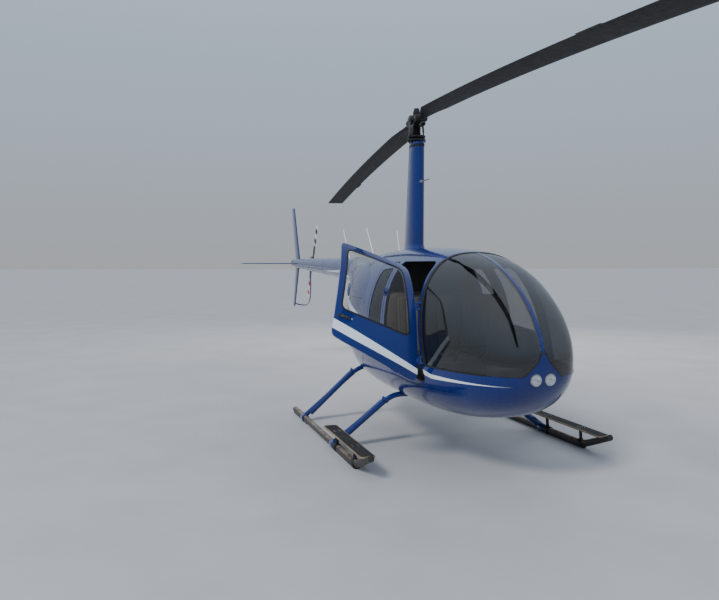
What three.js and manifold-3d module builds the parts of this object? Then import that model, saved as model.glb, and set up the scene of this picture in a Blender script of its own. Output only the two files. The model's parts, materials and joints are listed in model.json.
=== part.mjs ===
// Light four-seat helicopter on skids, with its starboard front door open.
// Millimetres, nose towards -Y, port towards +X, up +Z. The parts are laid out around the
// main rotor's axis at x = 0, y = 0 with the ground at z = 0, and the finished group is
// moved so that its origin is the middle of the footprint, on the ground.

import * as THREE from 'three';
import * as BufferGeometryUtils from 'three/addons/utils/BufferGeometryUtils.js';
import Module from 'manifold-3d';

const wasm = await Module();
wasm.setup();

// Gaps between pieces.
const SEAT_GAP = 0.3;
const DOOR_GAP = 8;
const RUNNING_GAP = 0.8;
const MOVING_GAP = 6;

// Body shell, sampled from sections that run from the nose to the tail boom.
const SECTION_SIDES = 32;
const NOSE_Y = -2440;
const BODY_END_Y = 1900;
const STATION_COUNT = 24;
const WALL = 28;
const COWL_WALL = 18;
const GLASS_OUTER = 3;
const GLASS_INNER = 11;

// Columns: y, bottom, top, half width, height of the widest line, squareness of the section.
const BODY_SECTIONS = [
  [-2440, 930, 930, 0, 930, 2.0],
  [-2390, 745, 1130, 235, 930, 2.1],
  [-2260, 600, 1330, 370, 925, 2.2],
  [-2050, 500, 1510, 480, 915, 2.3],
  [-1700, 425, 1690, 580, 905, 2.4],
  [-1250, 395, 1795, 632, 905, 2.5],
  [-600, 390, 1835, 645, 915, 2.5],
  [0, 395, 1835, 632, 930, 2.45],
  [500, 430, 1815, 580, 990, 2.4],
  [1000, 620, 1790, 455, 1150, 2.3],
  [1500, 1080, 1772, 265, 1430, 2.15],
  [1900, 1432, 1766, 167, 1599, 2.0],
];

// Side view lines of the cabin, as y and z.
const HINGE_LEAN = THREE.MathUtils.degToRad(17);
const HOOP_FOOT = { y: -1722, z: 620 };
const HOOP_WIDTH = 48;
const GLASS_LINE_Z = 862;
// Half widths of the nose panel between the windshield halves, by height, from its foot up.
const NOSE_PANEL = [
  [165, 862],
  [122, 897],
  [82, 936],
  [40, 985],
  [14, 1040],
];
const TUB_TOP_Z = 1000;
const ROOF_LOW_Z = 1500;
const PILLAR_FOOT = { y: -826, z: 870 };
const PILLAR_WIDTH = 52;
const PILLAR_LEAN = 0.1386;
const REAR_HOOP_FRONT_Y = -276;
const REAR_HOOP_REAR_Y = -200;
const BOW_HALF_WIDTH = 13;

// Door outlines in side view: y, z and corner radius.
const FRONT_DOOR = [
  [-1633, 714, 105],
  [-834, 870, 45],
  [-719, 1695, 50],
  [-1333, 1695, 60],
];
const FRONT_WINDOW = [
  [-1455, 1062, 60],
  [-850, 1100, 50],
  [-782, 1640, 50],
  [-1278, 1642, 60],
];
const REAR_DOOR = [
  [-765, 880, 45],
  [-284, 990, 120],
  [-284, 1680, 60],
  [-652, 1695, 50],
];
const REAR_WINDOW = [
  [-682, 1108, 50],
  [-342, 1128, 60],
  [-342, 1622, 60],
  [-606, 1640, 50],
];

// Door hinges.
const HINGE_RADIUS = 8;
const HINGE_LENGTH = 34;
const HINGE_STANDOFF = 17;
const FRONT_HINGE_HEIGHTS = [900, 1330];
const REAR_HINGE_HEIGHTS = [1080, 1420];
const OPEN_DOOR_ANGLE = THREE.MathUtils.degToRad(86);

// Landing lights in the nose panel.
const LIGHT_X = 58;
const LIGHT_Z = 842;
const LIGHT_RADIUS = 46;
const LIGHT_DEPTH = 60;

// Cabin inside.
const FLOOR_Z = 540;
const FLOOR_THICK = 16;
const FIREWALL_Y = -228;
const FIREWALL_THICK = 16;

// Landing gear.
const SKID_X = 1086;
const SKID_RADIUS = 31;
const SHOE_THICK = 5;
const SKID_Z = SKID_RADIUS + SHOE_THICK;
const SKID_AFT_Y = 937;
const SKID_BEND_Y = -1390;
const SKID_TIP = { y: -1770, z: 185 };
const SHOE_WIDTH = 44;
const CROSS_TUBES = [
  { name: 'cross_tube_front', y: -714, innerX: 520, innerZ: 463, radius: 25 },
  { name: 'cross_tube_rear', y: 464, innerX: 470, innerZ: 558, radius: 25 },
];
const TUBE_FAIRING_CHORD = 112;
const STEP_Z = 168;
const STEP_FRONT_Y = -1700;
const STEP_REAR_Y = -560;
const STEP_WIDTH = 130;
const STEP_THICK = 14;
const STEP_POSTS = [-1360, -812];

// Engine bay.
const FRAME_RADIUS = 18;
const FRAME_X = 230;
const REAR_TUBE = CROSS_TUBES[1];
const FRAME_Z = REAR_TUBE.innerZ + REAR_TUBE.radius + FRAME_RADIUS + SEAT_GAP;
const FRAME_END_Y = 900;
const FRAME_CROSS_Y = [250, 760];
const ENGINE_BOX = { x: 320, yFrom: 150, yTo: 860, top: 1060 };
const BELLY_OPENING = { x: 335, yFrom: 230, yTo: 1180, top: 800 };

// Mast and main rotor.
const FAIRING_FRONT_Y = -130;
const FAIRING_FOOT = { z: 1650, chord: 480, half: 92 };
const FAIRING_HEAD = { z: 2930, chord: 300, half: 80 };
const SHAFT_RADIUS = 26;
const SHAFT_BORE_DEPTH = 80;
const HUB_Z = 3153;
const HUB_TOP_Z = 3280;
const ROTOR_RADIUS = 5030;
const ROTOR_AZIMUTH = 0.092;
const BLADE_DROOP = 417;
// Columns: radius, chord, thickness.
const BLADE_STATIONS = [
  [185, 96, 62],
  [330, 104, 56],
  [520, 170, 44],
  [760, 254, 32],
  [1600, 254, 30],
  [2500, 254, 29],
  [3400, 254, 28],
  [4300, 254, 28],
  [5030, 250, 24],
];

// Tail.
const BOOM_START = { y: BODY_END_Y + SEAT_GAP, z: 1599, radius: 166 };
const BOOM_END = { y: 5800, z: 1700, radius: 76 };
const TAIL_ROTOR_X = 330;
const TAIL_ROTOR_Y = 5893;
const TAIL_ROTOR_Z = 1712;
const TAIL_ROTOR_RADIUS = 737;
const TAIL_ROTOR_ANGLE = THREE.MathUtils.degToRad(28);
const TAIL_SHAFT_RADIUS = 17;
const FIN_THICK = 36;

const PAINT = { color: 0x0b3a8c, roughness: 0.22, metalness: 0.25 };
const BLACK = { color: 0x121315, roughness: 0.55, metalness: 0.1 };
const METAL = { color: 0x8b8d90, roughness: 0.4, metalness: 0.85 };
const DARK_METAL = { color: 0x2b2c2f, roughness: 0.5, metalness: 0.7 };
const GLASS = { color: 0x1c242c, roughness: 0.05, metalness: 0.0 };
const TRIM = { color: 0x8e8a84, roughness: 0.75, metalness: 0.0 };
const LEATHER = { color: 0x4a4742, roughness: 0.6, metalness: 0.0 };
const SKID_METAL = { color: 0x5b5650, roughness: 0.5, metalness: 0.7 };
const LAMP = { color: 0xd9dde0, roughness: 0.12, metalness: 0.9 };

const AXIS_X = new THREE.Vector3(1, 0, 0);
const AXIS_Y = new THREE.Vector3(0, 1, 0);
const AXIS_Z = new THREE.Vector3(0, 0, 1);

const helicopter = new THREE.Group();
helicopter.userData.hinges = {};

// Solids

function toSolid(geometry) {
  const bare = geometry.clone();
  bare.deleteAttribute('normal');
  if (bare.attributes.uv) {
    bare.deleteAttribute('uv');
  }
  const merged = BufferGeometryUtils.mergeVertices(bare, 1e-4);
  const index = merged.index.array;
  const kept = [];
  for (let i = 0; i < index.length; i += 3) {
    const [a, b, c] = [index[i], index[i + 1], index[i + 2]];
    if (a !== b && b !== c && c !== a) {
      kept.push(a, b, c);
    }
  }
  const mesh = new wasm.Mesh({
    numProp: 3,
    vertProperties: new Float32Array(merged.attributes.position.array),
    triVerts: new Uint32Array(kept),
  });
  return new wasm.Manifold(mesh);
}

function toGeometry(solid) {
  const mesh = solid.getMesh();
  const geometry = new THREE.BufferGeometry();
  geometry.setAttribute('position', new THREE.BufferAttribute(new Float32Array(mesh.vertProperties), 3));
  geometry.setIndex(new THREE.BufferAttribute(new Uint32Array(mesh.triVerts), 1));
  geometry.computeVertexNormals();
  return geometry;
}

function union(...solids) {
  return solids.reduce((sum, solid) => sum.add(solid));
}

function cut(solid, ...tools) {
  return tools.reduce((rest, tool) => rest.subtract(tool), solid);
}

function addPart(name, solid, look, parent = helicopter) {
  const material = new THREE.MeshStandardMaterial(look);
  const mesh = new THREE.Mesh(toGeometry(solid), material);
  mesh.name = name;
  parent.add(mesh);
  return mesh;
}

// Closed surface through rings of equal length, with a flat cap at each end.
function loft(rings) {
  const sides = rings[0].length;
  const positions = [];
  const index = [];
  for (const ring of rings) {
    for (const point of ring) {
      positions.push(point.x, point.y, point.z);
    }
  }
  for (let r = 0; r < rings.length - 1; r += 1) {
    for (let k = 0; k < sides; k += 1) {
      const next = (k + 1) % sides;
      const [a, b] = [r * sides + k, r * sides + next];
      const [c, d] = [a + sides, b + sides];
      index.push(a, b, d, a, d, c);
    }
  }
  for (const [first, flip] of [[0, true], [(rings.length - 1) * sides, false]]) {
    const centre = positions.length / 3;
    const middle = new THREE.Vector3();
    rings[first / sides].forEach((point) => middle.add(point));
    middle.divideScalar(sides);
    positions.push(middle.x, middle.y, middle.z);
    for (let k = 0; k < sides; k += 1) {
      const [a, b] = [first + k, first + ((k + 1) % sides)];
      index.push(...(flip ? [centre, b, a] : [centre, a, b]));
    }
  }
  const geometry = new THREE.BufferGeometry();
  geometry.setAttribute('position', new THREE.Float32BufferAttribute(positions, 3));
  geometry.setIndex(index);
  return geometry;
}

// Outward facing whichever way its rings turn.
function loftSolid(rings) {
  const solid = toSolid(loft(rings));
  return solid.volume() > 0 ? solid : toSolid(loft([...rings].reverse()));
}

function box(x0, x1, y0, y1, z0, z1) {
  const geometry = new THREE.BoxGeometry(x1 - x0, y1 - y0, z1 - z0);
  geometry.translate((x0 + x1) / 2, (y0 + y1) / 2, (z0 + z1) / 2);
  return toSolid(geometry);
}

// Round bar between two points.
function bar(from, to, radius, sides = 16, endRadius = radius) {
  const start = new THREE.Vector3(...from);
  const end = new THREE.Vector3(...to);
  const length = start.distanceTo(end);
  const geometry = new THREE.CylinderGeometry(endRadius, radius, length, sides);
  const along = end.clone().sub(start).normalize();
  const turn = new THREE.Quaternion().setFromUnitVectors(new THREE.Vector3(0, 1, 0), along);
  geometry.applyQuaternion(turn);
  geometry.translate((from[0] + to[0]) / 2, (from[1] + to[1]) / 2, (from[2] + to[2]) / 2);
  return toSolid(geometry);
}

// Closed outline with rounded corners, from rows of u, v and corner radius.
function roundedShape(corners) {
  const shape = new THREE.Shape();
  const count = corners.length;
  corners.forEach(([u, v, radius = 0], k) => {
    const here = new THREE.Vector2(u, v);
    const before = new THREE.Vector2(...corners[(k + count - 1) % count]);
    const after = new THREE.Vector2(...corners[(k + 1) % count]);
    const start = here.clone().add(before.sub(here).setLength(radius || 1e-9));
    const end = here.clone().add(after.sub(here).setLength(radius || 1e-9));
    if (k === 0) {
      shape.moveTo(start.x, start.y);
    } else {
      shape.lineTo(start.x, start.y);
    }
    if (radius > 0) {
      shape.quadraticCurveTo(here.x, here.y, end.x, end.y);
    }
  });
  shape.closePath();
  return shape;
}

function prism(corners, low, high, toWorld, curveSegments = 4) {
  const geometry = new THREE.ExtrudeGeometry(roundedShape(corners), {
    depth: high - low,
    bevelEnabled: false,
    curveSegments,
  });
  geometry.translate(0, 0, low);
  geometry.applyMatrix4(toWorld);
  return toSolid(geometry);
}

// Outline in y and z, drawn out along x.
function sidePrism(corners, x0, x1) {
  return prism(corners, x0, x1, new THREE.Matrix4().makeBasis(AXIS_Y, AXIS_Z, AXIS_X));
}

// Outline in x and z, drawn out along y.
function frontPrism(corners, y0, y1) {
  const toWorld = new THREE.Matrix4().makeBasis(AXIS_X, AXIS_Z, AXIS_Y.clone().negate());
  return prism(corners, -y1, -y0, toWorld);
}

// Outline in x and y, drawn out along z.
function topPrism(corners, z0, z1) {
  return prism(corners, z0, z1, new THREE.Matrix4());
}

// The same convex outline with every edge moved out by a distance.
function grow(corners, distance) {
  const count = corners.length;
  const edges = corners.map(([u, v], k) => {
    const [nextU, nextV] = corners[(k + 1) % count];
    const along = new THREE.Vector2(nextU - u, nextV - v).normalize();
    const out = new THREE.Vector2(along.y, -along.x);
    return { u: u + out.x * distance, v: v + out.y * distance, along };
  });
  return corners.map(([, , radius = 0], k) => {
    const [a, b] = [edges[(k + count - 1) % count], edges[k]];
    const cross = a.along.x * b.along.y - a.along.y * b.along.x;
    const t = ((b.u - a.u) * b.along.y - (b.v - a.v) * b.along.x) / cross;
    return [a.u + a.along.x * t, a.v + a.along.y * t, Math.max(radius + distance, 0)];
  });
}

// Body shell

// Section columns at a station, read along the square root of the distance from the nose,
// which keeps the nose round.
function sectionAt(y) {
  const along = (station) => Math.sqrt(Math.max(station - NOSE_Y, 0));
  const s = along(y);
  const rows = BODY_SECTIONS;
  let k = 0;
  while (k < rows.length - 2 && s > along(rows[k + 1][0])) {
    k += 1;
  }
  const [s0, s1] = [along(rows[k][0]), along(rows[k + 1][0])];
  const t = Math.min((s - s0) / (s1 - s0), 1);
  const slope = (row, column) => {
    const low = Math.max(row - 1, 0);
    const high = Math.min(row + 1, rows.length - 1);
    return (rows[high][column] - rows[low][column]) / (along(rows[high][0]) - along(rows[low][0]));
  };
  const read = (column) => {
    const [p0, p1] = [rows[k][column], rows[k + 1][column]];
    const [m0, m1] = [slope(k, column) * (s1 - s0), slope(k + 1, column) * (s1 - s0)];
    const [t2, t3] = [t * t, t * t * t];
    return p0 * (2 * t3 - 3 * t2 + 1) + m0 * (t3 - 2 * t2 + t) + p1 * (3 * t2 - 2 * t3) + m1 * (t3 - t2);
  };
  const [bottom, top, half, belt, squareness] = [1, 2, 3, 4, 5].map(read);
  return { bottom, top, half: Math.max(half, 0), belt, squareness };
}

function bodyPoint(y, angle) {
  const section = sectionAt(y);
  const power = 2 / section.squareness;
  const [c, s] = [Math.cos(angle), Math.sin(angle)];
  const rise = s > 0 ? section.top - section.belt : section.belt - section.bottom;
  return new THREE.Vector3(
    section.half * Math.sign(c) * Math.abs(c) ** power,
    y,
    section.belt + rise * Math.sign(s) * Math.abs(s) ** power,
  );
}

// Half width of the body at a height.
function halfWidthAt(y, z) {
  const section = sectionAt(y);
  const rise = z > section.belt ? section.top - section.belt : section.belt - section.bottom;
  const fraction = Math.min(Math.abs(z - section.belt) / rise, 1);
  return section.half * (1 - fraction ** section.squareness) ** (1 / section.squareness);
}

// The whole body as a solid, moved in from its outer surface by an inset.
function body(inset) {
  const rings = [];
  for (let r = 0; r <= STATION_COUNT; r += 1) {
    const share = Math.max(r / STATION_COUNT, 0.004);
    const y = NOSE_Y + (BODY_END_Y - NOSE_Y) * share ** 1.7;
    const ring = [];
    for (let k = 0; k < SECTION_SIDES; k += 1) {
      ring.push(bodyPoint(y, (2 * Math.PI * (k + 0.5)) / SECTION_SIDES));
    }
    rings.push(ring);
  }
  const geometry = loft(rings);
  geometry.computeVertexNormals();
  const positions = geometry.attributes.position;
  const normals = geometry.attributes.normal;
  const inward = toSolid(geometry).volume() > 0 ? -inset : inset;
  for (let i = 0; i < positions.count; i += 1) {
    positions.setXYZ(
      i,
      positions.getX(i) + normals.getX(i) * inward,
      positions.getY(i) + normals.getY(i) * inward,
      positions.getZ(i) + normals.getZ(i) * inward,
    );
  }
  const solid = toSolid(geometry);
  if (solid.volume() > 0) {
    return solid;
  }
  const index = geometry.index.array;
  for (let i = 0; i < index.length; i += 3) {
    [index[i], index[i + 1]] = [index[i + 1], index[i]];
  }
  return toSolid(geometry);
}

const outerBody = body(0);
const cabinShell = cut(outerBody, body(WALL));
const cowlShell = cut(outerBody, body(COWL_WALL));
const glassShell = cut(body(GLASS_OUTER), body(GLASS_INNER));
const cabinInside = body(WALL + SEAT_GAP);
const bodyFitted = body(-SEAT_GAP);

// Slanted line of the hoop behind the windshield, moved aft by an offset.
function hoopLine(z, offset = 0) {
  return HOOP_FOOT.y + (z - HOOP_FOOT.z) * Math.tan(HINGE_LEAN) + offset;
}

// Front line of the leaning pillar between the doors, moved aft by an offset.
function pillarLine(z, offset = 0) {
  return PILLAR_FOOT.y + (z - PILLAR_FOOT.z) * PILLAR_LEAN + offset;
}

const FAR = 3000;
const BODY_FRONT = NOSE_Y - 200;
const BODY_LOW = 200;
const BODY_HIGH = 2100;
const SIDES = [['left', 1], ['right', -1]];

function onSide(side, outline) {
  return side > 0 ? sidePrism(outline, 0, FAR) : sidePrism(outline, -FAR, 0);
}

const frontDoorOpening = sidePrism(grow(FRONT_DOOR, DOOR_GAP), -FAR, FAR);
const rearDoorOpening = sidePrism(grow(REAR_DOOR, DOOR_GAP), -FAR, FAR);

function slantedSlab(low, high, fromOffset, toOffset) {
  return sidePrism([
    [hoopLine(low, fromOffset), low],
    [hoopLine(low, toOffset), low],
    [hoopLine(high, toOffset), high],
    [hoopLine(high, fromOffset), high],
  ], -FAR, FAR);
}

function nosePanel(growth) {
  const right = NOSE_PANEL.map(([half, z], k) => [
    half + growth,
    k === NOSE_PANEL.length - 1 ? z + growth : z,
  ]);
  right.unshift([NOSE_PANEL[0][0] + growth, GLASS_LINE_Z - 100]);
  const left = right.map(([half, z]) => [-half, z]).reverse();
  return frontPrism([...right, ...left], BODY_FRONT, -2100);
}

function tubSolid() {
  const low = sidePrism([
    [BODY_FRONT, BODY_LOW],
    [REAR_HOOP_FRONT_Y - SEAT_GAP, BODY_LOW],
    [REAR_HOOP_FRONT_Y - SEAT_GAP, TUB_TOP_Z],
    [hoopLine(TUB_TOP_Z, HOOP_WIDTH + SEAT_GAP), TUB_TOP_Z],
    [hoopLine(GLASS_LINE_Z, HOOP_WIDTH + SEAT_GAP), GLASS_LINE_Z],
    [BODY_FRONT, GLASS_LINE_Z],
  ], -FAR, FAR);
  let tub = cabinShell.intersect(union(low, nosePanel(0)));
  tub = cut(tub, frontDoorOpening, rearDoorOpening);
  for (const side of [-1, 1]) {
    tub = cut(tub, lightBarrel(side, LIGHT_RADIUS + SEAT_GAP));
  }
  for (const tube of CROSS_TUBES) {
    tub = cut(tub, crossTubeBody(tube, SEAT_GAP));
  }
  return tub;
}

function lightBarrel(side, radius) {
  return bar([side * LIGHT_X, NOSE_Y - 40, LIGHT_Z], [side * LIGHT_X, NOSE_Y + 120, LIGHT_Z], radius, 20);
}

// Lamp with a bowl cut into its face, following the nose.
function landingLight(side) {
  const barrel = lightBarrel(side, LIGHT_RADIUS).intersect(cut(body(2), body(LIGHT_DEPTH)));
  const bowlProfile = [[0, 0], [14, 0], [30, 12], [38, 30], [38, 120], [0, 120]];
  const bowl = new THREE.LatheGeometry(bowlProfile.map(([r, h]) => new THREE.Vector2(r, h)), 18);
  bowl.rotateX(Math.PI);
  bowl.translate(side * LIGHT_X, NOSE_Y + 44, LIGHT_Z);
  return cut(barrel, toSolid(bowl));
}

// Landing gear

// Round tube through points that all lie in a plane with the given normal, mitred at each.
function mitredTube(points, normal, radius, sides = 14) {
  const rings = points.map((point, k) => {
    const before = points[Math.max(k - 1, 0)];
    const after = points[Math.min(k + 1, points.length - 1)];
    const into = point.clone().sub(before).normalize();
    const out = after.clone().sub(point).normalize();
    const tangent = into.clone().add(out).normalize();
    const stretch = 1 / Math.max(tangent.dot(k === 0 ? out : into), 0.5);
    const across = new THREE.Vector3().crossVectors(tangent, normal).normalize();
    const ring = [];
    for (let j = 0; j < sides; j += 1) {
      const angle = (2 * Math.PI * (j + 0.5)) / sides;
      ring.push(point.clone()
        .addScaledVector(normal, radius * Math.cos(angle))
        .addScaledVector(across, radius * stretch * Math.sin(angle)));
    }
    return ring;
  });
  return loftSolid(rings);
}

// Straight runs between rows of u and v, with each inner corner rounded by a few points.
function softPath(rows, bendLength, toPoint) {
  const points = [];
  rows.forEach(([u, v], k) => {
    if (k === 0 || k === rows.length - 1) {
      points.push([u, v]);
      return;
    }
    const corner = new THREE.Vector2(u, v);
    const start = corner.clone().add(new THREE.Vector2(...rows[k - 1]).sub(corner).setLength(bendLength));
    const end = corner.clone().add(new THREE.Vector2(...rows[k + 1]).sub(corner).setLength(bendLength));
    const bend = new THREE.QuadraticBezierCurve(start, corner, end);
    points.push(...bend.getPoints(4).map((point) => [point.x, point.y]));
  });
  return points.map(([u, v]) => toPoint(u, v));
}

// A cross tube's round core, from one skid to the other.
function crossTubeBody(tube, growth) {
  const rows = [
    [-SKID_X, SKID_Z],
    [-tube.innerX, tube.innerZ],
    [tube.innerX, tube.innerZ],
    [SKID_X, SKID_Z],
  ];
  const points = softPath(rows, 90, (x, z) => new THREE.Vector3(x, tube.y, z));
  return mitredTube(points, AXIS_Y, tube.radius + growth);
}

// Streamlined sleeve on each leg, from outside the belly to the skid.
function legFairing(tube, side) {
  const inner = new THREE.Vector3(side * (tube.innerX + 95), tube.y, tube.innerZ - 60);
  const outer = new THREE.Vector3(side * (SKID_X - 60), tube.y, SKID_Z + 44);
  const half = tube.radius + 4;
  const outline = [
    [-half - 4, 0], [-half * 0.6, half * 0.85], [0, half], [half, half * 0.8],
    [TUBE_FAIRING_CHORD - half, 5], [TUBE_FAIRING_CHORD - half, -5],
    [half, -half * 0.8], [0, -half], [-half * 0.6, -half * 0.85],
  ];
  const along = outer.clone().sub(inner).normalize();
  const across = new THREE.Vector3().crossVectors(along, AXIS_Y).normalize();
  const ringAt = (centre) => outline.map(([y, n]) => centre.clone()
    .addScaledVector(AXIS_Y, y)
    .addScaledVector(across, n));
  return loftSolid([ringAt(inner), ringAt(outer)]);
}

function skidCore(radius) {
  const rows = [[SKID_AFT_Y, SKID_Z], [SKID_BEND_Y, SKID_Z], [SKID_TIP.y, SKID_TIP.z]];
  const points = softPath(rows, 110, (y, z) => new THREE.Vector3(0, y, z));
  return mitredTube(points, AXIS_X, radius);
}

function skid(side) {
  const solid = union(
    skidCore(SKID_RADIUS),
    box(-SHOE_WIDTH / 2, SHOE_WIDTH / 2, SKID_BEND_Y + 40, SKID_BEND_Y + 640, 0, SKID_Z),
    box(-SHOE_WIDTH / 2, SHOE_WIDTH / 2, SKID_AFT_Y - 640, SKID_AFT_Y - 20, 0, SKID_Z),
  );
  return solid.translate([side * SKID_X, 0, 0]);
}

function crossTube(tube) {
  const parts = [crossTubeBody(tube, 0)];
  for (const side of [-1, 1]) {
    parts.push(legFairing(tube, side));
    const saddle = bar(
      [side * SKID_X, tube.y - 50, SKID_Z],
      [side * SKID_X, tube.y + 50, SKID_Z],
      SKID_RADIUS + 9,
      16,
    );
    parts.push(saddle);
  }
  const below = box(-FAR, FAR, tube.y - 300, tube.y + 300, -200, SHOE_THICK + 8);
  const cores = [-1, 1].map((side) => skidCore(SKID_RADIUS + SEAT_GAP).translate([side * SKID_X, 0, 0]));
  const shoes = [-1, 1].map((side) => box(
    side * SKID_X - SHOE_WIDTH / 2 - 1,
    side * SKID_X + SHOE_WIDTH / 2 + 1,
    tube.y - 300,
    tube.y + 300,
    -50,
    SKID_Z,
  ));
  return cut(union(...parts), below, ...cores, ...shoes);
}

function step(side) {
  const x = side * SKID_X;
  const plate = box(
    x - STEP_WIDTH / 2,
    x + STEP_WIDTH / 2,
    STEP_FRONT_Y,
    STEP_REAR_Y,
    STEP_Z,
    STEP_Z + STEP_THICK,
  );
  const parts = [plate];
  for (const y of STEP_POSTS) {
    parts.push(bar([x, y, SKID_Z + 10], [x, y + 20, STEP_Z + 4], 15, 12));
    parts.push(bar([x, y - 40, SKID_Z], [x, y + 40, SKID_Z], SKID_RADIUS + 6, 16));
  }
  const core = skidCore(SKID_RADIUS + SEAT_GAP).translate([x, 0, 0]);
  const below = box(x - 80, x + 80, STEP_FRONT_Y - 100, STEP_REAR_Y + 100, -50, SKID_Z);
  return cut(union(...parts), core, below);
}

// Doors

function hingeAxis(side, heights, lineAt) {
  const [low, high] = heights.map((z) => {
    const y = lineAt(z);
    return new THREE.Vector3(side * (halfWidthAt(y, z) + HINGE_STANDOFF), y, z);
  });
  return { low, high, along: high.clone().sub(low).normalize() };
}

// Hinge knuckle around the axis, with a lug square to it that reaches into the panel beside it.
function knuckle(axis, point, from, to, towards) {
  const start = point.clone().addScaledVector(axis.along, from);
  const end = point.clone().addScaledVector(axis.along, to);
  const pin = bar(start.toArray(), end.toArray(), HINGE_RADIUS, 8);
  const reach = towards.clone().addScaledVector(axis.along, -towards.dot(axis.along));
  const outward = reach.clone().normalize();
  const lug = new THREE.BoxGeometry(to - from, HINGE_RADIUS * 1.1, reach.length());
  const placed = new THREE.Matrix4().makeBasis(
    axis.along,
    new THREE.Vector3().crossVectors(outward, axis.along),
    outward,
  );
  placed.setPosition(start.add(end).add(reach).multiplyScalar(0.5));
  lug.applyMatrix4(placed);
  return union(pin, toSolid(lug));
}

function doorKnuckles(axis, side) {
  const towards = new THREE.Vector3(-side * (HINGE_STANDOFF + 12), 30, 0);
  const half = HINGE_LENGTH / 2;
  return [axis.low, axis.high].map((point) => knuckle(axis, point, -half, half, towards));
}

function postKnuckles(axis, side) {
  const towards = new THREE.Vector3(-side * (HINGE_STANDOFF + 12), -24, 0);
  const start = HINGE_LENGTH / 2 + RUNNING_GAP;
  return [axis.low, axis.high].flatMap((point) => [
    knuckle(axis, point, start, start + 16, towards),
    knuckle(axis, point, -start - 16, -start, towards),
  ]);
}

const frontGapLine = (z) => hoopLine(z, HOOP_WIDTH + DOOR_GAP / 2);
const rearGapLine = (z) => pillarLine(z, PILLAR_WIDTH + DOOR_GAP / 2);

function door(outline, windowOutline, side, axis) {
  let frame = cabinShell.intersect(onSide(side, outline));
  frame = cut(frame, onSide(side, windowOutline));
  frame = union(frame, ...doorKnuckles(axis, side));
  const pane = glassShell.intersect(onSide(side, grow(windowOutline, -SEAT_GAP)));
  return { frame, pane };
}

// Mast, rotor and tail

function airfoilRing(chord, half, sides = 20) {
  const ring = [];
  for (let k = 0; k < sides; k += 1) {
    const angle = (2 * Math.PI * k) / sides;
    const along = (1 - Math.cos(angle)) / 2;
    const thick = 2.6 * (Math.sqrt(along) * 0.45 - along * 0.23 - along * along * 0.2);
    ring.push([along * chord, half * thick * 1.9 * Math.sign(Math.sin(angle) || 1)]);
  }
  return ring;
}

function circleRing(y, z, radius, sides = 24) {
  const ring = [];
  for (let k = 0; k < sides; k += 1) {
    const angle = (2 * Math.PI * k) / sides;
    ring.push(new THREE.Vector3(radius * Math.cos(angle), y, z + radius * Math.sin(angle)));
  }
  return ring;
}

function boom(growth) {
  const grown = [BOOM_START, BOOM_END].map(({ y, z, radius }) => circleRing(y, z, radius + growth));
  return loftSolid(grown);
}

function mastFairing() {
  const rings = [FAIRING_FOOT, FAIRING_HEAD].map(({ z, chord, half }) => airfoilRing(chord, half)
    .map(([along, side]) => new THREE.Vector3(side, FAIRING_FRONT_Y + along, z)));
  const bore = bar(
    [0, 0, FAIRING_HEAD.z - SHAFT_BORE_DEPTH],
    [0, 0, FAIRING_HEAD.z + 20],
    SHAFT_RADIUS + RUNNING_GAP,
    24,
  );
  return cut(loftSolid(rings), bore, bodyFitted);
}

function ringSolid(inner, outer, z0, z1, sides = 24) {
  const profile = [[inner, z0], [outer, z0], [outer, z1], [inner, z1], [inner, z0]];
  const geometry = new THREE.LatheGeometry(profile.map(([r, z]) => new THREE.Vector2(r, z)), sides);
  geometry.rotateX(Math.PI / 2);
  return toSolid(geometry);
}

// Height of the drooping blade's middle at a radius.
function bladeZ(radius) {
  const share = Math.max(radius - BLADE_STATIONS[0][0], 0) / (ROTOR_RADIUS - BLADE_STATIONS[0][0]);
  return HUB_Z - BLADE_DROOP * (0.55 * share + 0.45 * share * share);
}

// Blade along +Y with its leading edge towards -X.
function mainBlade() {
  const section = [
    [-0.25, 0], [-0.2, 0.3], [-0.1, 0.46], [0.05, 0.5], [0.3, 0.38], [0.73, 0.05],
    [0.75, -0.03], [0.3, -0.28], [0.05, -0.44], [-0.1, -0.42], [-0.2, -0.28],
  ];
  const rings = BLADE_STATIONS.map(([radius, chord, thick]) => section.map(([c, t]) => new THREE.Vector3(
    c * chord,
    radius,
    bladeZ(radius) + t * thick,
  )));
  return loftSolid(rings);
}

function rotorHub() {
  const grip = BLADE_STATIONS[0][0] - SEAT_GAP;
  const parts = [
    bar([0, 0, FAIRING_HEAD.z - SHAFT_BORE_DEPTH + 6], [0, 0, HUB_TOP_Z - 20], SHAFT_RADIUS, 24),
    bar([0, 0, HUB_TOP_Z - 55], [0, 0, HUB_TOP_Z], 38, 16, 26),
    box(-62, 62, -grip, grip, HUB_Z - 36, HUB_Z + 36),
    bar([-92, 0, HUB_Z + 8], [92, 0, HUB_Z + 8], 24, 14),
    ringSolid(SHAFT_RADIUS - 4, 92, SWASH_TOP_Z + MOVING_GAP, SWASH_TOP_Z + MOVING_GAP + 26),
  ];
  for (const side of [-1, 1]) {
    const x = side * 84;
    parts.push(bar([x, side * 20, SWASH_TOP_Z + MOVING_GAP + 8], [x, side * 60, HUB_Z + 4], 8, 8));
    parts.push(bar([x, side * 60, HUB_Z], [side * 40, side * 90, HUB_Z], 13, 8));
  }
  return union(...parts);
}

const SWASH_TOP_Z = FAIRING_HEAD.z + 40;

// Fin or stabilizer: outline rows of two corners each, with a thin lens section.
function blank(corners, thick, place) {
  const geometry = new THREE.ExtrudeGeometry(roundedShape(corners), {
    depth: thick * 0.4,
    bevelEnabled: true,
    bevelThickness: thick * 0.3,
    bevelSize: thick * 0.5,
    bevelOffset: -thick * 0.5,
    bevelSegments: 2,
    curveSegments: 3,
  });
  geometry.translate(0, 0, -thick * 0.2);
  geometry.applyMatrix4(place);
  return toSolid(geometry);
}

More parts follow.
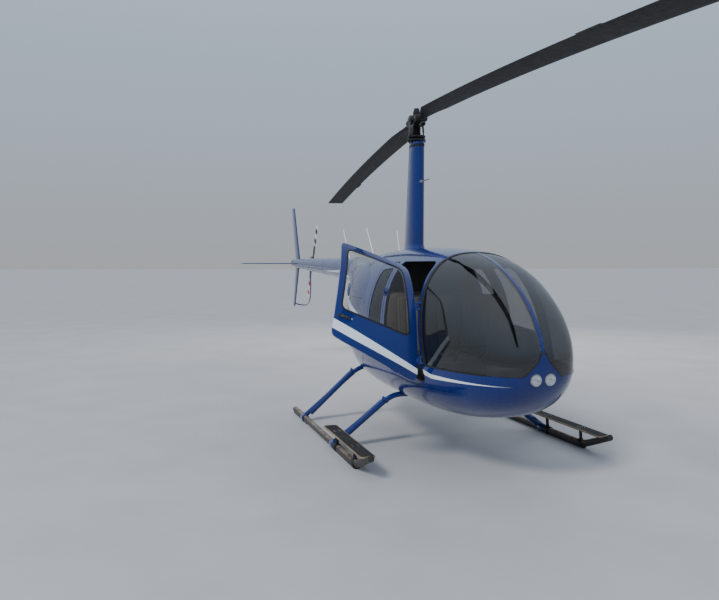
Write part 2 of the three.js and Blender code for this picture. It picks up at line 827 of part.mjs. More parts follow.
const IN_SIDE_PLANE = new THREE.Matrix4().makeBasis(AXIS_Y, AXIS_Z, AXIS_X);

function buildCabin() {
  addPart('cabin_tub', tubSolid(), PAINT);

  const floorSlab = box(-FAR, FAR, -2230, FIREWALL_Y - SEAT_GAP, FLOOR_Z, FLOOR_Z + FLOOR_THICK);
  addPart('cabin_floor', cabinInside.intersect(floorSlab), TRIM);

  const roofRegion = sidePrism([
    [hoopLine(ROOF_LOW_Z, HOOP_WIDTH + SEAT_GAP), ROOF_LOW_Z],
    [REAR_HOOP_FRONT_Y - SEAT_GAP, ROOF_LOW_Z],
    [REAR_HOOP_FRONT_Y - SEAT_GAP, BODY_HIGH],
    [hoopLine(BODY_HIGH, HOOP_WIDTH + SEAT_GAP), BODY_HIGH],
  ], -FAR, FAR);
  addPart('cabin_roof', cut(cabinShell.intersect(roofRegion), frontDoorOpening, rearDoorOpening), PAINT);

  const hoopFloor = GLASS_LINE_Z + SEAT_GAP;
  const hoop = cabinShell.intersect(slantedSlab(hoopFloor, BODY_HIGH, 0, HOOP_WIDTH));
  const frontAxes = SIDES.map(([, side]) => hingeAxis(side, FRONT_HINGE_HEIGHTS, frontGapLine));
  const hoopKnuckles = SIDES.flatMap(([, side], k) => postKnuckles(frontAxes[k], side));
  addPart('windshield_hoop', union(hoop, ...hoopKnuckles), PAINT);

  const rearHoop = cabinShell.intersect(box(-FAR, FAR, REAR_HOOP_FRONT_Y, REAR_HOOP_REAR_Y, 0, FAR));
  addPart('rear_hoop', rearHoop, PAINT);

  SIDES.forEach(([label, side], k) => {
    const pillarLow = TUB_TOP_Z + SEAT_GAP;
    const pillarHigh = ROOF_LOW_Z - SEAT_GAP;
    const pillarBlock = onSide(side, [
      [pillarLine(pillarLow), pillarLow],
      [pillarLine(pillarLow, PILLAR_WIDTH), pillarLow],
      [pillarLine(pillarHigh, PILLAR_WIDTH), pillarHigh],
      [pillarLine(pillarHigh), pillarHigh],
    ]);
    const rearAxis = hingeAxis(side, REAR_HINGE_HEIGHTS, rearGapLine);
    const pillar = union(cabinShell.intersect(pillarBlock), ...postKnuckles(rearAxis, side));
    helicopter.userData.hinges[`front_${label}`] = frontAxes[k];
    helicopter.userData.hinges[`rear_${label}`] = rearAxis;
    addPart(`b_pillar_${label}`, pillar, PAINT);

    const front = door(FRONT_DOOR, FRONT_WINDOW, side, frontAxes[k]);
    const open = side < 0;
    const frontGroup = new THREE.Group();
    helicopter.add(frontGroup);
    addPart(`door_front_${label}`, front.frame, PAINT, frontGroup);
    addPart(`window_front_${label}`, front.pane, GLASS, frontGroup);
    if (open) {
      swing(frontGroup, frontAxes[k], OPEN_DOOR_ANGLE);
    }
    const rear = door(REAR_DOOR, REAR_WINDOW, side, rearAxis);
    addPart(`door_rear_${label}`, rear.frame, PAINT);
    addPart(`window_rear_${label}`, rear.pane, GLASS);
  });

  const glassRegion = sidePrism([
    [BODY_FRONT, GLASS_LINE_Z + SEAT_GAP],
    [hoopLine(GLASS_LINE_Z + SEAT_GAP, -SEAT_GAP), GLASS_LINE_Z + SEAT_GAP],
    [hoopLine(BODY_HIGH, -SEAT_GAP), BODY_HIGH],
    [BODY_FRONT, BODY_HIGH],
  ], -FAR, FAR);
  const bowSlab = (half) => box(-half, half, BODY_FRONT, 0, 0, FAR);
  const glass = cut(glassShell.intersect(glassRegion), nosePanel(SEAT_GAP), bowSlab(BOW_HALF_WIDTH + SEAT_GAP));
  const leftHalf = box(0, FAR, BODY_FRONT, FAR, 0, FAR);
  addPart('windshield_left', glass.intersect(leftHalf), GLASS);
  addPart('windshield_right', cut(glass, leftHalf), GLASS);
  const bow = cut(cabinShell.intersect(glassRegion).intersect(bowSlab(BOW_HALF_WIDTH)), nosePanel(SEAT_GAP));
  addPart('windshield_bow', bow, PAINT);

  addPart('landing_light_left', landingLight(1), LAMP);
  addPart('landing_light_right', landingLight(-1), LAMP);

  const wall = box(-FAR, FAR, FIREWALL_Y, FIREWALL_Y + FIREWALL_THICK, 0, FAR);
  addPart('firewall', cabinInside.intersect(wall), METAL);
}

// Turn a group about a line in space.
function swing(group, axis, angle) {
  const turn = new THREE.Quaternion().setFromAxisAngle(axis.along, angle);
  const moved = axis.low.clone().applyQuaternion(turn);
  group.quaternion.copy(turn);
  group.position.copy(axis.low).sub(moved);
}

// Front seats: x centre and name. Rear seats are one bench.
const SEAT_WIDTH = 440;
const SEAT_X = 250;
const SEAT_TOP_Z = 800;
const CUSHION_THICK = 85;
const FRONT_SEAT = { front: -1590, back: -1115, lean: 110 };
const REAR_SEAT = { front: -770, back: -360, lean: 70 };
const BACK_THICK = 85;
const BACK_TOP_Z = 1400;

function roundedPad(width, y0, y1, z0, z1, lean) {
  const corners = [
    [y0, z0, 22],
    [y1, z0, 22],
    [y1 + lean, z1, 22],
    [y0 + lean, z1, 22],
  ];
  return sidePrism(corners, -width / 2, width / 2);
}

function buildSeats() {
  const seatFloor = FLOOR_Z + FLOOR_THICK + SEAT_GAP;
  const rows = [
    { label: 'front', seat: FRONT_SEAT, width: SEAT_X * 2 + SEAT_WIDTH },
    { label: 'rear', seat: REAR_SEAT, width: SEAT_X * 2 + SEAT_WIDTH + 20 },
  ];
  for (const { label, seat, width } of rows) {
    const base = box(-width / 2, width / 2, seat.front + 25, seat.back + 20, seatFloor, SEAT_TOP_Z);
    addPart(`seat_base_${label}`, base.intersect(body(WALL + 8)), TRIM);
  }
  const cushionZ = SEAT_TOP_Z + SEAT_GAP;
  const cushionTop = cushionZ + CUSHION_THICK;
  const places = [
    ['front_left', SEAT_X, FRONT_SEAT, SEAT_WIDTH],
    ['front_right', -SEAT_X, FRONT_SEAT, SEAT_WIDTH],
    ['rear', 0, REAR_SEAT, 2 * SEAT_X + SEAT_WIDTH],
  ];
  for (const [label, x, seat, width] of places) {
    const cushion = roundedPad(width, seat.front, seat.back, cushionZ, cushionTop, 0);
    const back = roundedPad(
      width,
      seat.back - BACK_THICK + 20,
      seat.back + 20,
      cushionTop + SEAT_GAP,
      BACK_TOP_Z,
      seat.lean,
    );
    addPart(`cushion_${label}`, cushion.translate([x, 0, 0]), LEATHER);
    addPart(`backrest_${label}`, back.translate([x, 0, 0]), LEATHER);
  }
}

function buildControls() {
  const floorTop = FLOOR_Z + FLOOR_THICK + SEAT_GAP;
  const console = sidePrism([
    [-2080, floorTop, 0],
    [-1900, floorTop, 0],
    [-1850, 800, 30],
    [-1800, 1120, 30],
    [-1960, 1150, 40],
    [-2060, 900, 30],
  ], -150, 150);
  addPart('instrument_console', console, BLACK);
  const post = union(
    box(-45, 45, -1740, -1640, floorTop, floorTop + 60),
    bar([0, -1690, floorTop + 40], [0, -1640, 1000], 16, 12),
    bar([-330, -1640, 1000], [330, -1640, 1000], 12, 12),
    bar([-330, -1640, 1006], [-330, -1660, 880], 16, 12),
    bar([330, -1640, 1006], [330, -1660, 880], 16, 12),
  );
  addPart('cyclic_bar', post, DARK_METAL);
}

function buildEngineBay() {
  let cowl = cowlShell.intersect(box(-FAR, FAR, REAR_HOOP_REAR_Y + SEAT_GAP, FAR, 0, FAR));
  const opening = BELLY_OPENING;
  cowl = cut(cowl, box(-opening.x, opening.x, opening.yFrom, opening.yTo, 0, opening.top));
  cowl = cut(cowl, crossTubeBody(REAR_TUBE, SEAT_GAP));
  addPart('engine_cowling', cowl, PAINT);

  const frameStart = FIREWALL_Y + FIREWALL_THICK + SEAT_GAP;
  const rails = [-1, 1].map((side) => bar(
    [side * FRAME_X, frameStart, FRAME_Z],
    [side * FRAME_X, FRAME_END_Y, FRAME_Z],
    FRAME_RADIUS,
    12,
  ));
  const crosses = FRAME_CROSS_Y.map((y) => bar([-FRAME_X, y, FRAME_Z], [FRAME_X, y, FRAME_Z], FRAME_RADIUS, 12));
  addPart('engine_frame', union(...rails, ...crosses), DARK_METAL);

  const engineLow = FRAME_Z + FRAME_RADIUS + SEAT_GAP;
  const engine = box(-ENGINE_BOX.x, ENGINE_BOX.x, ENGINE_BOX.yFrom, ENGINE_BOX.yTo, engineLow, ENGINE_BOX.top);
  addPart('engine_block', engine, DARK_METAL);

  const fan = bar([0, ENGINE_BOX.yTo + SEAT_GAP, 900], [0, ENGINE_BOX.yTo + 150, 900], 225, 24);
  const intake = bar([0, ENGINE_BOX.yTo + 60, 900], [0, ENGINE_BOX.yTo + 200, 900], 120, 20);
  addPart('fan_scroll', cut(fan, intake), METAL);

  const muffler = union(
    bar([-210, 560, 500], [210, 560, 500], 62, 16),
    bar([-150, 560, 520], [-150, 560, engineLow - SEAT_GAP], 24, 12),
    bar([150, 560, 520], [150, 560, engineLow - SEAT_GAP], 24, 12),
    bar([120, 560, 480], [120, 760, 400], 30, 12),
  );
  addPart('exhaust', muffler, DARK_METAL);
}

function buildTail() {
  addPart('tail_boom', boom(0), PAINT);
  const boomFitted = boom(SEAT_GAP);

  const upper = blank([
    [5440, 1700, 0],
    [5800, 1700, 0],
    [6130, 2715, 60],
    [5890, 2715, 60],
  ], FIN_THICK, IN_SIDE_PLANE);
  const lower = blank([
    [5500, 1700, 0],
    [5880, 895, 50],
    [6060, 895, 50],
    [5800, 1700, 0],
  ], FIN_THICK, IN_SIDE_PLANE);
  const gearboxEnd = 5990;
  const gearboxStart = BOOM_END.y + SEAT_GAP;
  const gearbox = union(
    bar([0, gearboxStart, BOOM_END.z], [0, gearboxEnd, TAIL_ROTOR_Z], 66, 20, 50),
    bar([0, TAIL_ROTOR_Y, TAIL_ROTOR_Z], [TAIL_ROTOR_X - 80, TAIL_ROTOR_Y, TAIL_ROTOR_Z], 48, 16, 34),
  );
  const bore = bar(
    [TAIL_ROTOR_X - 150, TAIL_ROTOR_Y, TAIL_ROTOR_Z],
    [TAIL_ROTOR_X, TAIL_ROTOR_Y, TAIL_ROTOR_Z],
    TAIL_SHAFT_RADIUS + RUNNING_GAP,
    20,
  );
  addPart('tail_gearbox', cut(gearbox, bore, boomFitted), METAL);
  const gearboxFitted = bar(
    [0, gearboxStart - 2, BOOM_END.z],
    [0, gearboxEnd + 2, TAIL_ROTOR_Z],
    66 + 1,
    20,
    50 + 1,
  );
  addPart('upper_fin', cut(upper, boomFitted, gearboxFitted, box(-FAR, FAR, 5000, 6500, 1000, 1712)), PAINT);
  addPart('lower_fin', cut(lower, boomFitted, gearboxFitted, box(-FAR, FAR, 5000, 6500, 1690, 2500)), PAINT);

  const stabilizer = blank([
    [-20, 5500, 0],
    [-20, 5790, 0],
    [-1020, 5770, 40],
    [-1020, 5560, 40],
  ].reverse(), 30, new THREE.Matrix4().makeTranslation(0, 0, BOOM_END.z - 8));
  addPart('stabilizer', cut(stabilizer, boomFitted), PAINT);

  const guardPath = new THREE.CatmullRomCurve3([
    [40, 4880, 1620],
    [120, 5150, 1330],
    [190, 5520, 1040],
    [205, 5850, 930],
    [120, 6040, 925],
    [FIN_THICK / 2 - 3, 6020, 960],
  ].map((point) => new THREE.Vector3(...point)));
  const guardShape = new THREE.Shape();
  guardShape.absarc(0, 0, 11, 0, Math.PI * 2);
  const guard = new THREE.ExtrudeGeometry(guardShape, { steps: 24, curveSegments: 4, extrudePath: guardPath });
  const finFitted = blank([
    [5500 - 1, 1700, 0],
    [5880 - 1, 895 - 1, 50],
    [6060 + 1, 895 - 1, 50],
    [5800 + 1, 1700, 0],
  ], FIN_THICK + 2 * SEAT_GAP, IN_SIDE_PLANE);
  addPart('tail_rotor_guard', cut(toSolid(guard), boomFitted, finFitted), METAL);

  const antennas = [
    ['antenna_front', [460, 1740], [562, 2050]],
    ['antenna_middle', [1300, 1700], [1658, 2137]],
    ['antenna_rear', [2370, 1700], [2690, 2157]],
  ];
  for (const [name, [footY, footZ], [tipY, tipZ]] of antennas) {
    const collarY = footY + (tipY - footY) * 0.25;
    const collarZ = footZ + (tipZ - footZ) * 0.25;
    const rod = union(
      bar([0, footY, footZ], [0, tipY, tipZ], 7, 8, 5),
      bar([0, footY, footZ], [0, collarY, collarZ], 16, 10, 9),
    );
    addPart(name, cut(rod, bodyFitted, boomFitted), BLACK);
  }
}

function buildRotors() {
  addPart('mast_fairing', mastFairing(), PAINT);
  const swash = ringSolid(SHAFT_RADIUS + RUNNING_GAP, 96, FAIRING_HEAD.z + SEAT_GAP, SWASH_TOP_Z);
  addPart('swashplate', swash, DARK_METAL);

  const main = new THREE.Group();
  main.rotation.z = -ROTOR_AZIMUTH;
  helicopter.add(main);
  const blade = mainBlade();
  addPart('main_rotor_hub', rotorHub(), DARK_METAL, main);
  addPart('main_blade_rear', blade, BLACK, main);
  addPart('main_blade_front', blade.rotate([0, 0, 180]), BLACK, main);

  const tail = new THREE.Group();
  tail.position.set(TAIL_ROTOR_X, TAIL_ROTOR_Y, TAIL_ROTOR_Z);
  tail.rotation.x = TAIL_ROTOR_ANGLE;
  helicopter.add(tail);
  const hubBlock = union(
    bar([-142, 0, 0], [36, 0, 0], TAIL_SHAFT_RADIUS, 20),
    box(-26, 26, -30, 30, -118, 118),
    bar([-52, 0, 0], [-40, 0, 0], 52, 16),
  );
  addPart('tail_rotor_hub', hubBlock, DARK_METAL, tail);
  for (const [name, up] of [['tail_blade_upper', 1], ['tail_blade_lower', -1]]) {
    const rows = [[118 + SEAT_GAP, 60, 26], [220, 130, 18], [TAIL_ROTOR_RADIUS, 130, 15]];
    const rings = rows.map(([radius, chord, thick]) => [
      [0, -0.3], [0.5, -0.1], [0.45, 0.15], [0, 0.7], [-0.4, 0.15], [-0.5, -0.1],
    ].map(([t, c]) => new THREE.Vector3(t * thick, -up * c * chord, up * radius)));
    addPart(name, loftSolid(rings), BLACK, tail);
  }
}

function buildGear() {
  for (const [label, side] of SIDES) {
    addPart(`skid_${label}`, skid(side), SKID_METAL);
    addPart(`step_${label}`, step(side), DARK_METAL);
  }
  for (const tube of CROSS_TUBES) {
    addPart(tube.name, crossTube(tube), PAINT);
  }
}

buildCabin();
buildSeats();
buildControls();
buildEngineBay();
buildTail();
buildRotors();
buildGear();

helicopter.updateMatrixWorld(true);
const bounds = new THREE.Box3().setFromObject(helicopter, true);
helicopter.position.set(
  -(bounds.min.x + bounds.max.x) / 2,
  -(bounds.min.y + bounds.max.y) / 2,
  -bounds.min.z,
);

export default helicopter;
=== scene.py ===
import json
import math

import bmesh
import bpy
import numpy as np
from mathutils import Matrix, Vector

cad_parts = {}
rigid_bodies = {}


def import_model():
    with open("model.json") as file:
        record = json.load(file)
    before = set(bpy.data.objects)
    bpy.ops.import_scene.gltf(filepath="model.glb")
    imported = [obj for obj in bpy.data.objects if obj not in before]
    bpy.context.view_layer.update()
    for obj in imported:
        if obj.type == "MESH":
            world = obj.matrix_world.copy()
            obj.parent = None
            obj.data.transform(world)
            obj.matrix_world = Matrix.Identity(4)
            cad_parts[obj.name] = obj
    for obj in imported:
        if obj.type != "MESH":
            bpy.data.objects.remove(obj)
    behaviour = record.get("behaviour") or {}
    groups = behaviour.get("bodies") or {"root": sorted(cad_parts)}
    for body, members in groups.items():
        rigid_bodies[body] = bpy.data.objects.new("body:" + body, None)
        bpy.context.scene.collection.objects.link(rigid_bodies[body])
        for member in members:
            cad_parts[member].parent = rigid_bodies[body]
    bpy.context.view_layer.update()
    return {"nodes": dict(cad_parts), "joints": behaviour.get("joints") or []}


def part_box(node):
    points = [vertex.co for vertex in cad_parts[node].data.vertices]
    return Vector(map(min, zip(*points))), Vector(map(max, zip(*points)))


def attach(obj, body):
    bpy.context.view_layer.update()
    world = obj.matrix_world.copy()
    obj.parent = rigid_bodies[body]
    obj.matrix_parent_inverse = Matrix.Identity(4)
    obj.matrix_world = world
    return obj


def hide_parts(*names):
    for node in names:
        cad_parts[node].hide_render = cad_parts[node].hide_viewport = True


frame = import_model()

# Lengths are metres. Shapes are worked out around the main rotor's axis, with the nose
# towards -Y and the ground at z = 0, and moved by MAST when a piece is finished.
SWASH_LOW, SWASH_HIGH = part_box("swashplate")
MAST = Vector(((SWASH_LOW.x + SWASH_HIGH.x) / 2, (SWASH_LOW.y + SWASH_HIGH.y) / 2, 0))
JOINTS = {joint["name"]: joint for joint in frame["joints"]}

X_AXIS, Y_AXIS, Z_AXIS = (1, 0, 0), (0, 1, 0), (0, 0, 1)
ORIGIN = (0, 0, 0)
SIDES = (("left", 1), ("right", -1))
FAR = 3.0
SHARP_ANGLE = math.radians(32)

# Body sections. Columns: y, bottom, top, half width, height of the widest line, squareness.
BODY_SECTIONS = np.array([
    (-2.440, 0.930, 0.930, 0.000, 0.930, 2.00),
    (-2.390, 0.745, 1.130, 0.235, 0.930, 2.10),
    (-2.260, 0.600, 1.330, 0.370, 0.925, 2.20),
    (-2.050, 0.500, 1.510, 0.480, 0.915, 2.30),
    (-1.700, 0.425, 1.690, 0.580, 0.905, 2.40),
    (-1.250, 0.395, 1.795, 0.632, 0.905, 2.50),
    (-0.600, 0.390, 1.835, 0.645, 0.915, 2.50),
    (0.000, 0.395, 1.835, 0.632, 0.930, 2.45),
    (0.500, 0.430, 1.815, 0.580, 0.990, 2.40),
    (1.000, 0.620, 1.790, 0.455, 1.150, 2.30),
    (1.500, 1.080, 1.772, 0.265, 1.430, 2.15),
    (1.900, 1.432, 1.766, 0.167, 1.599, 2.00),
])
NOSE_Y = -2.440
AHEAD_Y = NOSE_Y - 0.2
BODY_END_Y = 1.900
BODY_RINGS = 150
BODY_SIDES = 144
# Rings stand closer together towards the nose by this power.
RING_CROWDING = 1.6
WALL = 0.028
COWL_WALL = 0.018

HINGE_LEAN = math.radians(17)
HOOP_FOOT = (-1.722, 0.620)
HOOP_WIDTH = 0.048
GLASS_LINE_Z = 0.862
GLASS_INSETS = (0.002, 0.008)
# Half widths of the nose panel between the windshield halves, by height.
NOSE_PANEL = [(0.165, 0.862), (0.122, 0.897), (0.082, 0.936), (0.040, 0.985), (0.014, 1.040)]
NOSE_PANEL_ROUND = 0.02
NOSE_PANEL_REAR_Y = -2.100
NOSE_PANEL_TIP_Z = 1.000
TUB_TOP_Z = 1.000
ROOF_LOW_Z = 1.500
ABOVE_ROOF_Z = 2.100
PILLAR_FOOT = (-0.826, 0.870)
PILLAR_WIDTH = 0.052
PILLAR_LEAN = 0.1386
REAR_HOOP_FRONT_Y = -0.276
REAR_HOOP_REAR_Y = -0.200
BOW_HALF_WIDTH = 0.013
DOOR_GAP = 0.008
PANEL_GAP = 0.0015

# Door and window outlines in side view: y, z, corner radius. A handle is given as y and z.
DOORS = {
    "front": dict(
        outline=[(-1.633, 0.714, 0.105), (-0.834, 0.870, 0.045),
                 (-0.719, 1.695, 0.050), (-1.333, 1.695, 0.060)],
        window=[(-1.455, 1.062, 0.060), (-0.850, 1.100, 0.050),
                (-0.782, 1.640, 0.050), (-1.278, 1.642, 0.060)],
        handle=(-0.890, 1.040),
        hinges=(0.900, 1.330),
    ),
    "rear": dict(
        outline=[(-0.765, 0.880, 0.045), (-0.284, 0.990, 0.120),
                 (-0.284, 1.680, 0.060), (-0.652, 1.695, 0.050)],
        window=[(-0.682, 1.108, 0.050), (-0.342, 1.128, 0.060),
                (-0.342, 1.622, 0.060), (-0.606, 1.640, 0.050)],
        handle=(-0.375, 1.062),
        hinges=(1.080, 1.420),
    ),
}
OPEN_DOOR_ANGLE = math.radians(86)

LIGHT_X = 0.058
LIGHT_Z = 0.842
LIGHT_RADIUS = 0.046

# The stripe along the flank: a straight centre line that rises aft, level ahead of STRIPE_FLAT_Z.
STRIPE_Y = -1.660
STRIPE_Z = 0.800
STRIPE_RISE = 0.195
STRIPE_FLAT_Z = 0.788
STRIPE_TOP_Z = 1.580
STRIPE_HALF = 0.037
STRIPE_TIP_Y = -2.370
STRIPE_FULL_Y = -1.000
STRIPE_FADE_Y = 1.200
STRIPE_END_Y = 3.400

# Landing gear.
SKID_X = 1.086
SKID_RADIUS = 0.031
SKID_Z = 0.036
SKID_AFT_Y = 0.937
SKID_BEND_Y = -1.390
SKID_TIP = (-1.770, 0.185)
# Columns: y, and the x and z of the bend below the body.
CROSS_TUBES = {"cross_tube_front": (-0.714, 0.520, 0.463), "cross_tube_rear": (0.464, 0.470, 0.558)}
TUBE_RADIUS = 0.025
STEP_Z = 0.168
STEP_FRONT_Y = -1.700
STEP_REAR_Y = -0.560
STEP_WIDTH = 0.130
STEP_POSTS = (-1.360, -0.812)

# Mast, rotors and tail. A fairing end is its height, chord and half thickness.
ROOF_Z = 1.834
FAIRING_FRONT_Y = -0.130
FAIRING_FOOT = (1.650, 0.480, 0.092)
FAIRING_HEAD = (2.930, 0.300, 0.080)
HUB_Z = 3.153
ROTOR_RADIUS = 5.030
ROTOR_AZIMUTH = 0.092
BLADE_DROOP = 0.417
# Columns: radius, chord, thickness.
BLADE_STATIONS = np.array([
    (0.185, 0.096, 0.062),
    (0.330, 0.104, 0.056),
    (0.520, 0.170, 0.044),
    (0.760, 0.254, 0.032),
    (5.005, 0.254, 0.026),
    (5.030, 0.236, 0.016),
])
# Columns: y, z of the axis, radius.
BOOM_START = np.array((1.9003, 1.599, 0.166))
BOOM_END = np.array((5.800, 1.700, 0.076))
TAIL_ROTOR = Vector((0.330, 5.893, 1.712))
TAIL_ROTOR_RADIUS = 0.737
TAIL_ROTOR_ANGLE = math.radians(28)


# Materials

class Look:
    """The nodes of a material or world, added and joined in short calls."""

    def __init__(self, owner):
        owner.use_nodes = True
        self.owner = owner
        self.tree = owner.node_tree
        self.tree.nodes.clear()

    def node(self, kind, inputs, **settings):
        """A node whose inputs are numbers, colours or the outputs of other nodes."""
        node = self.tree.nodes.new("ShaderNode" + kind)
        for key, value in settings.items():
            setattr(node, key, value)
        for key, value in inputs.items():
            if isinstance(value, bpy.types.NodeSocket):
                self.tree.links.new(value, node.inputs[key])
            else:
                node.inputs[key].default_value = (*value, 1) if isinstance(value, tuple) else value
        return node

    def coordinates(self, kind="Object"):
        return self.node("TexCoord", {}).outputs[kind]

    def attribute(self, name, output="Fac"):
        return self.node("Attribute", {}, attribute_name=name).outputs[output]

    def split(self, vector):
        return self.node("SeparateXYZ", {"Vector": vector}).outputs

    def noise(self, scale, detail=3.0, roughness=0.55, source=None):
        source = source or self.coordinates()
        inputs = {"Vector": source, "Scale": scale, "Detail": detail, "Roughness": roughness}
        return self.node("TexNoise", inputs).outputs["Fac"]

    def ramp(self, value, *stops):
        node = self.node("ValToRGB", {"Fac": value})
        elements = node.color_ramp.elements
        while len(elements) < len(stops):
            elements.new(0.5)
        for element, (position, colour) in zip(elements, stops):
            element.position = position
            element.color = (*colour, 1)
        return node.outputs["Color"]

    def remap(self, value, low, high, to_low=0.0, to_high=1.0):
        inputs = {"Value": value, "From Min": low, "From Max": high, "To Min": to_low, "To Max": to_high}
        return self.node("MapRange", inputs).outputs["Result"]

    def math(self, operation, *values):
        return self.node("Math", dict(enumerate(values)), operation=operation).outputs[0]

    def mix(self, share, first, second):
        return self.node("Mix", {0: share, 6: first, 7: second}, data_type="RGBA").outputs[2]

    def material(self, inputs, bump=None):
        """The finished material. A bump is its height, strength and distance."""
        if bump:
            sockets = dict(zip(("Height", "Strength", "Distance"), bump))
            inputs["Normal"] = self.node("Bump", sockets).outputs["Normal"]
        shader = self.node("BsdfPrincipled", inputs)
        self.node("OutputMaterial", {"Surface": shader.outputs["BSDF"]})
        return self.owner


def new_look(name):
    return Look(bpy.data.materials.new(name))


def stripe_mask(look, y, z):
    rise = look.math("MULTIPLY_ADD", y, STRIPE_RISE, STRIPE_Z - STRIPE_Y * STRIPE_RISE)
    centre = look.math("MINIMUM", look.math("MAXIMUM", rise, STRIPE_FLAT_Z), STRIPE_TOP_Z)
    growing = look.remap(y, STRIPE_TIP_Y, STRIPE_FULL_Y, 0.0, STRIPE_HALF)
    fading = look.remap(y, STRIPE_FADE_Y, STRIPE_END_Y, STRIPE_HALF, 0.0)
    away = look.math("ABSOLUTE", look.math("SUBTRACT", z, centre))
    return look.math("LESS_THAN", away, look.math("MINIMUM", growing, fading))


def paint_material(name, striped):
    """Blue paint with fine flakes, by where a point of the shell lies with the doors shut."""
    look = new_look(name)
    home = look.attribute("home", "Vector")
    _, y, z = look.split(home)
    broad = look.noise(2.2, source=home)
    flakes = look.remap(look.noise(900.0, 2.0, source=home), 0.5, 0.8, 0.0, 0.25)
    blue = look.ramp(broad, (0.3, (0.0010, 0.011, 0.105)), (0.75, (0.0018, 0.018, 0.150)))
    blue = look.mix(flakes, blue, (0.004, 0.036, 0.26))
    if striped:
        blue = look.mix(stripe_mask(look, y, z), blue, (0.72, 0.80, 0.86))
    # Road film low on the belly.
    dirt = look.remap(look.noise(6.0, 6.0, 0.65, home), 0.4, 0.7)
    film = look.math("MULTIPLY", look.remap(z, 0.62, 0.38, 0.0, 0.14), dirt)
    return look.material({
        "Base Color": look.mix(film, blue, (0.040, 0.036, 0.034)),
        "Roughness": look.remap(look.noise(14.0, 4.0, source=home), 0.3, 0.7, 0.20, 0.30),
        "Metallic": 0.25,
        "Specular IOR Level": 0.25,
        "Coat Weight": 0.85,
        "Coat Roughness": 0.03,
        "Coat IOR": 1.45,
    })


def plain_material(name, dark, light, roughness, metallic=0.0, grain=120.0, bump=0.15, coat=0.0):
    look = new_look(name)
    fine = look.noise(grain)
    return look.material({
        "Base Color": look.ramp(look.noise(7.0, 5.0), (0.3, dark), (0.7, light)),
        "Roughness": look.remap(fine, 0.3, 0.7, *roughness),
        "Metallic": metallic,
        "Coat Weight": coat,
    }, (fine, bump, 0.0008))


def glass_material(name, colour, alpha, ior, outer=True):
    """One face of a pane. The outer face's alpha rises towards grazing angles, where it mirrors."""
    look = new_look(name)
    haze = look.noise(3.0, 4.0)
    opacity = alpha
    if outer:
        facing = look.node("LayerWeight", {"Blend": 0.5}).outputs["Facing"]
        opacity = look.math("MULTIPLY_ADD", look.math("POWER", facing, 4.0), 1 - alpha, alpha)
    return look.material({
        "Base Color": look.ramp(haze, (0.3, colour), (0.8, tuple(c * 1.3 for c in colour))),
        "Roughness": look.remap(haze, 0.35, 0.75, 0.012, 0.045),
        "Alpha": opacity,
        "IOR": ior,
    })


def leather_material(name, dark, light):
    look = new_look(name)
    coordinates = look.coordinates()
    cells = look.node("TexVoronoi", {"Vector": coordinates, "Scale": 420.0}, feature="DISTANCE_TO_EDGE")
    crease = look.remap(cells.outputs["Distance"], 0.0, 0.12)
    return look.material({
        "Base Color": look.ramp(look.noise(9.0, 5.0, source=coordinates), (0.3, dark), (0.75, light)),
        "Roughness": look.remap(crease, 0.0, 1.0, 0.62, 0.42),
    }, (crease, 0.35, 0.0006))


def blade_material(name):
    """Near black blade paint with a worn metal leading edge."""
    look = new_look(name)
    noise = look.noise(22.0, 6.0, 0.7)
    wear = look.math("MULTIPLY", look.attribute("edge"), look.remap(noise, 0.42, 0.6, 0.2, 1.0))
    black = look.ramp(look.noise(1.5, 4.0), (0.3, (0.004, 0.004, 0.005)), (0.7, (0.009, 0.009, 0.011)))
    return look.material({
        "Base Color": look.mix(wear, black, (0.10, 0.10, 0.10)),
        "Roughness": look.remap(noise, 0.3, 0.7, 0.55, 0.7),
        "Metallic": look.math("MULTIPLY", wear, 0.8),
        "Specular IOR Level": 0.22,
    }, (noise, 0.05, 0.0006))


def banded_material(name, first, second, start, width):
    """Blade paint in bands across the span, by the attribute that holds the radius."""
    look = new_look(name)
    shifted = look.math("SUBTRACT", look.attribute("span"), start)
    band = look.math("GREATER_THAN", look.math("PINGPONG", shifted, width), width / 2)
    outer = look.math("GREATER_THAN", shifted, 0.0)
    noise = look.noise(30.0, 5.0)
    colour = look.mix(outer, (0.016, 0.016, 0.018), look.mix(band, first, second))
    return look.material({
        "Base Color": look.mix(look.remap(noise, 0.5, 0.8, 0.0, 0.3), colour, (0.05, 0.05, 0.05)),
        "Roughness": look.remap(noise, 0.3, 0.7, 0.35, 0.5),
    })


def skid_material(name):
    """Dark tube paint that turns tan in noisy patches on faces that point upward."""
    look = new_look(name)
    normal = look.node("NewGeometry", {}).outputs["Normal"]
    noise = look.noise(26.0, 6.0, 0.7)
    # Tan patches where the faces point upward, broken up by noise.
    up = look.remap(look.split(normal)["Z"], 0.45, 0.98)
    worn = look.math("MULTIPLY", up, look.remap(noise, 0.36, 0.58))
    dark = look.ramp(noise, (0.3, (0.018, 0.016, 0.015)), (0.7, (0.045, 0.038, 0.032)))
    return look.material({
        "Base Color": look.mix(worn, dark, (0.34, 0.28, 0.20)),
        "Roughness": look.remap(worn, 0.0, 1.0, 0.42, 0.58),
        "Metallic": 0.35,
    }, (noise, 0.12, 0.0008))


def grey(value, blue=0.0):
    """A grey, with a shift of its blue."""
    return value, value, value + blue


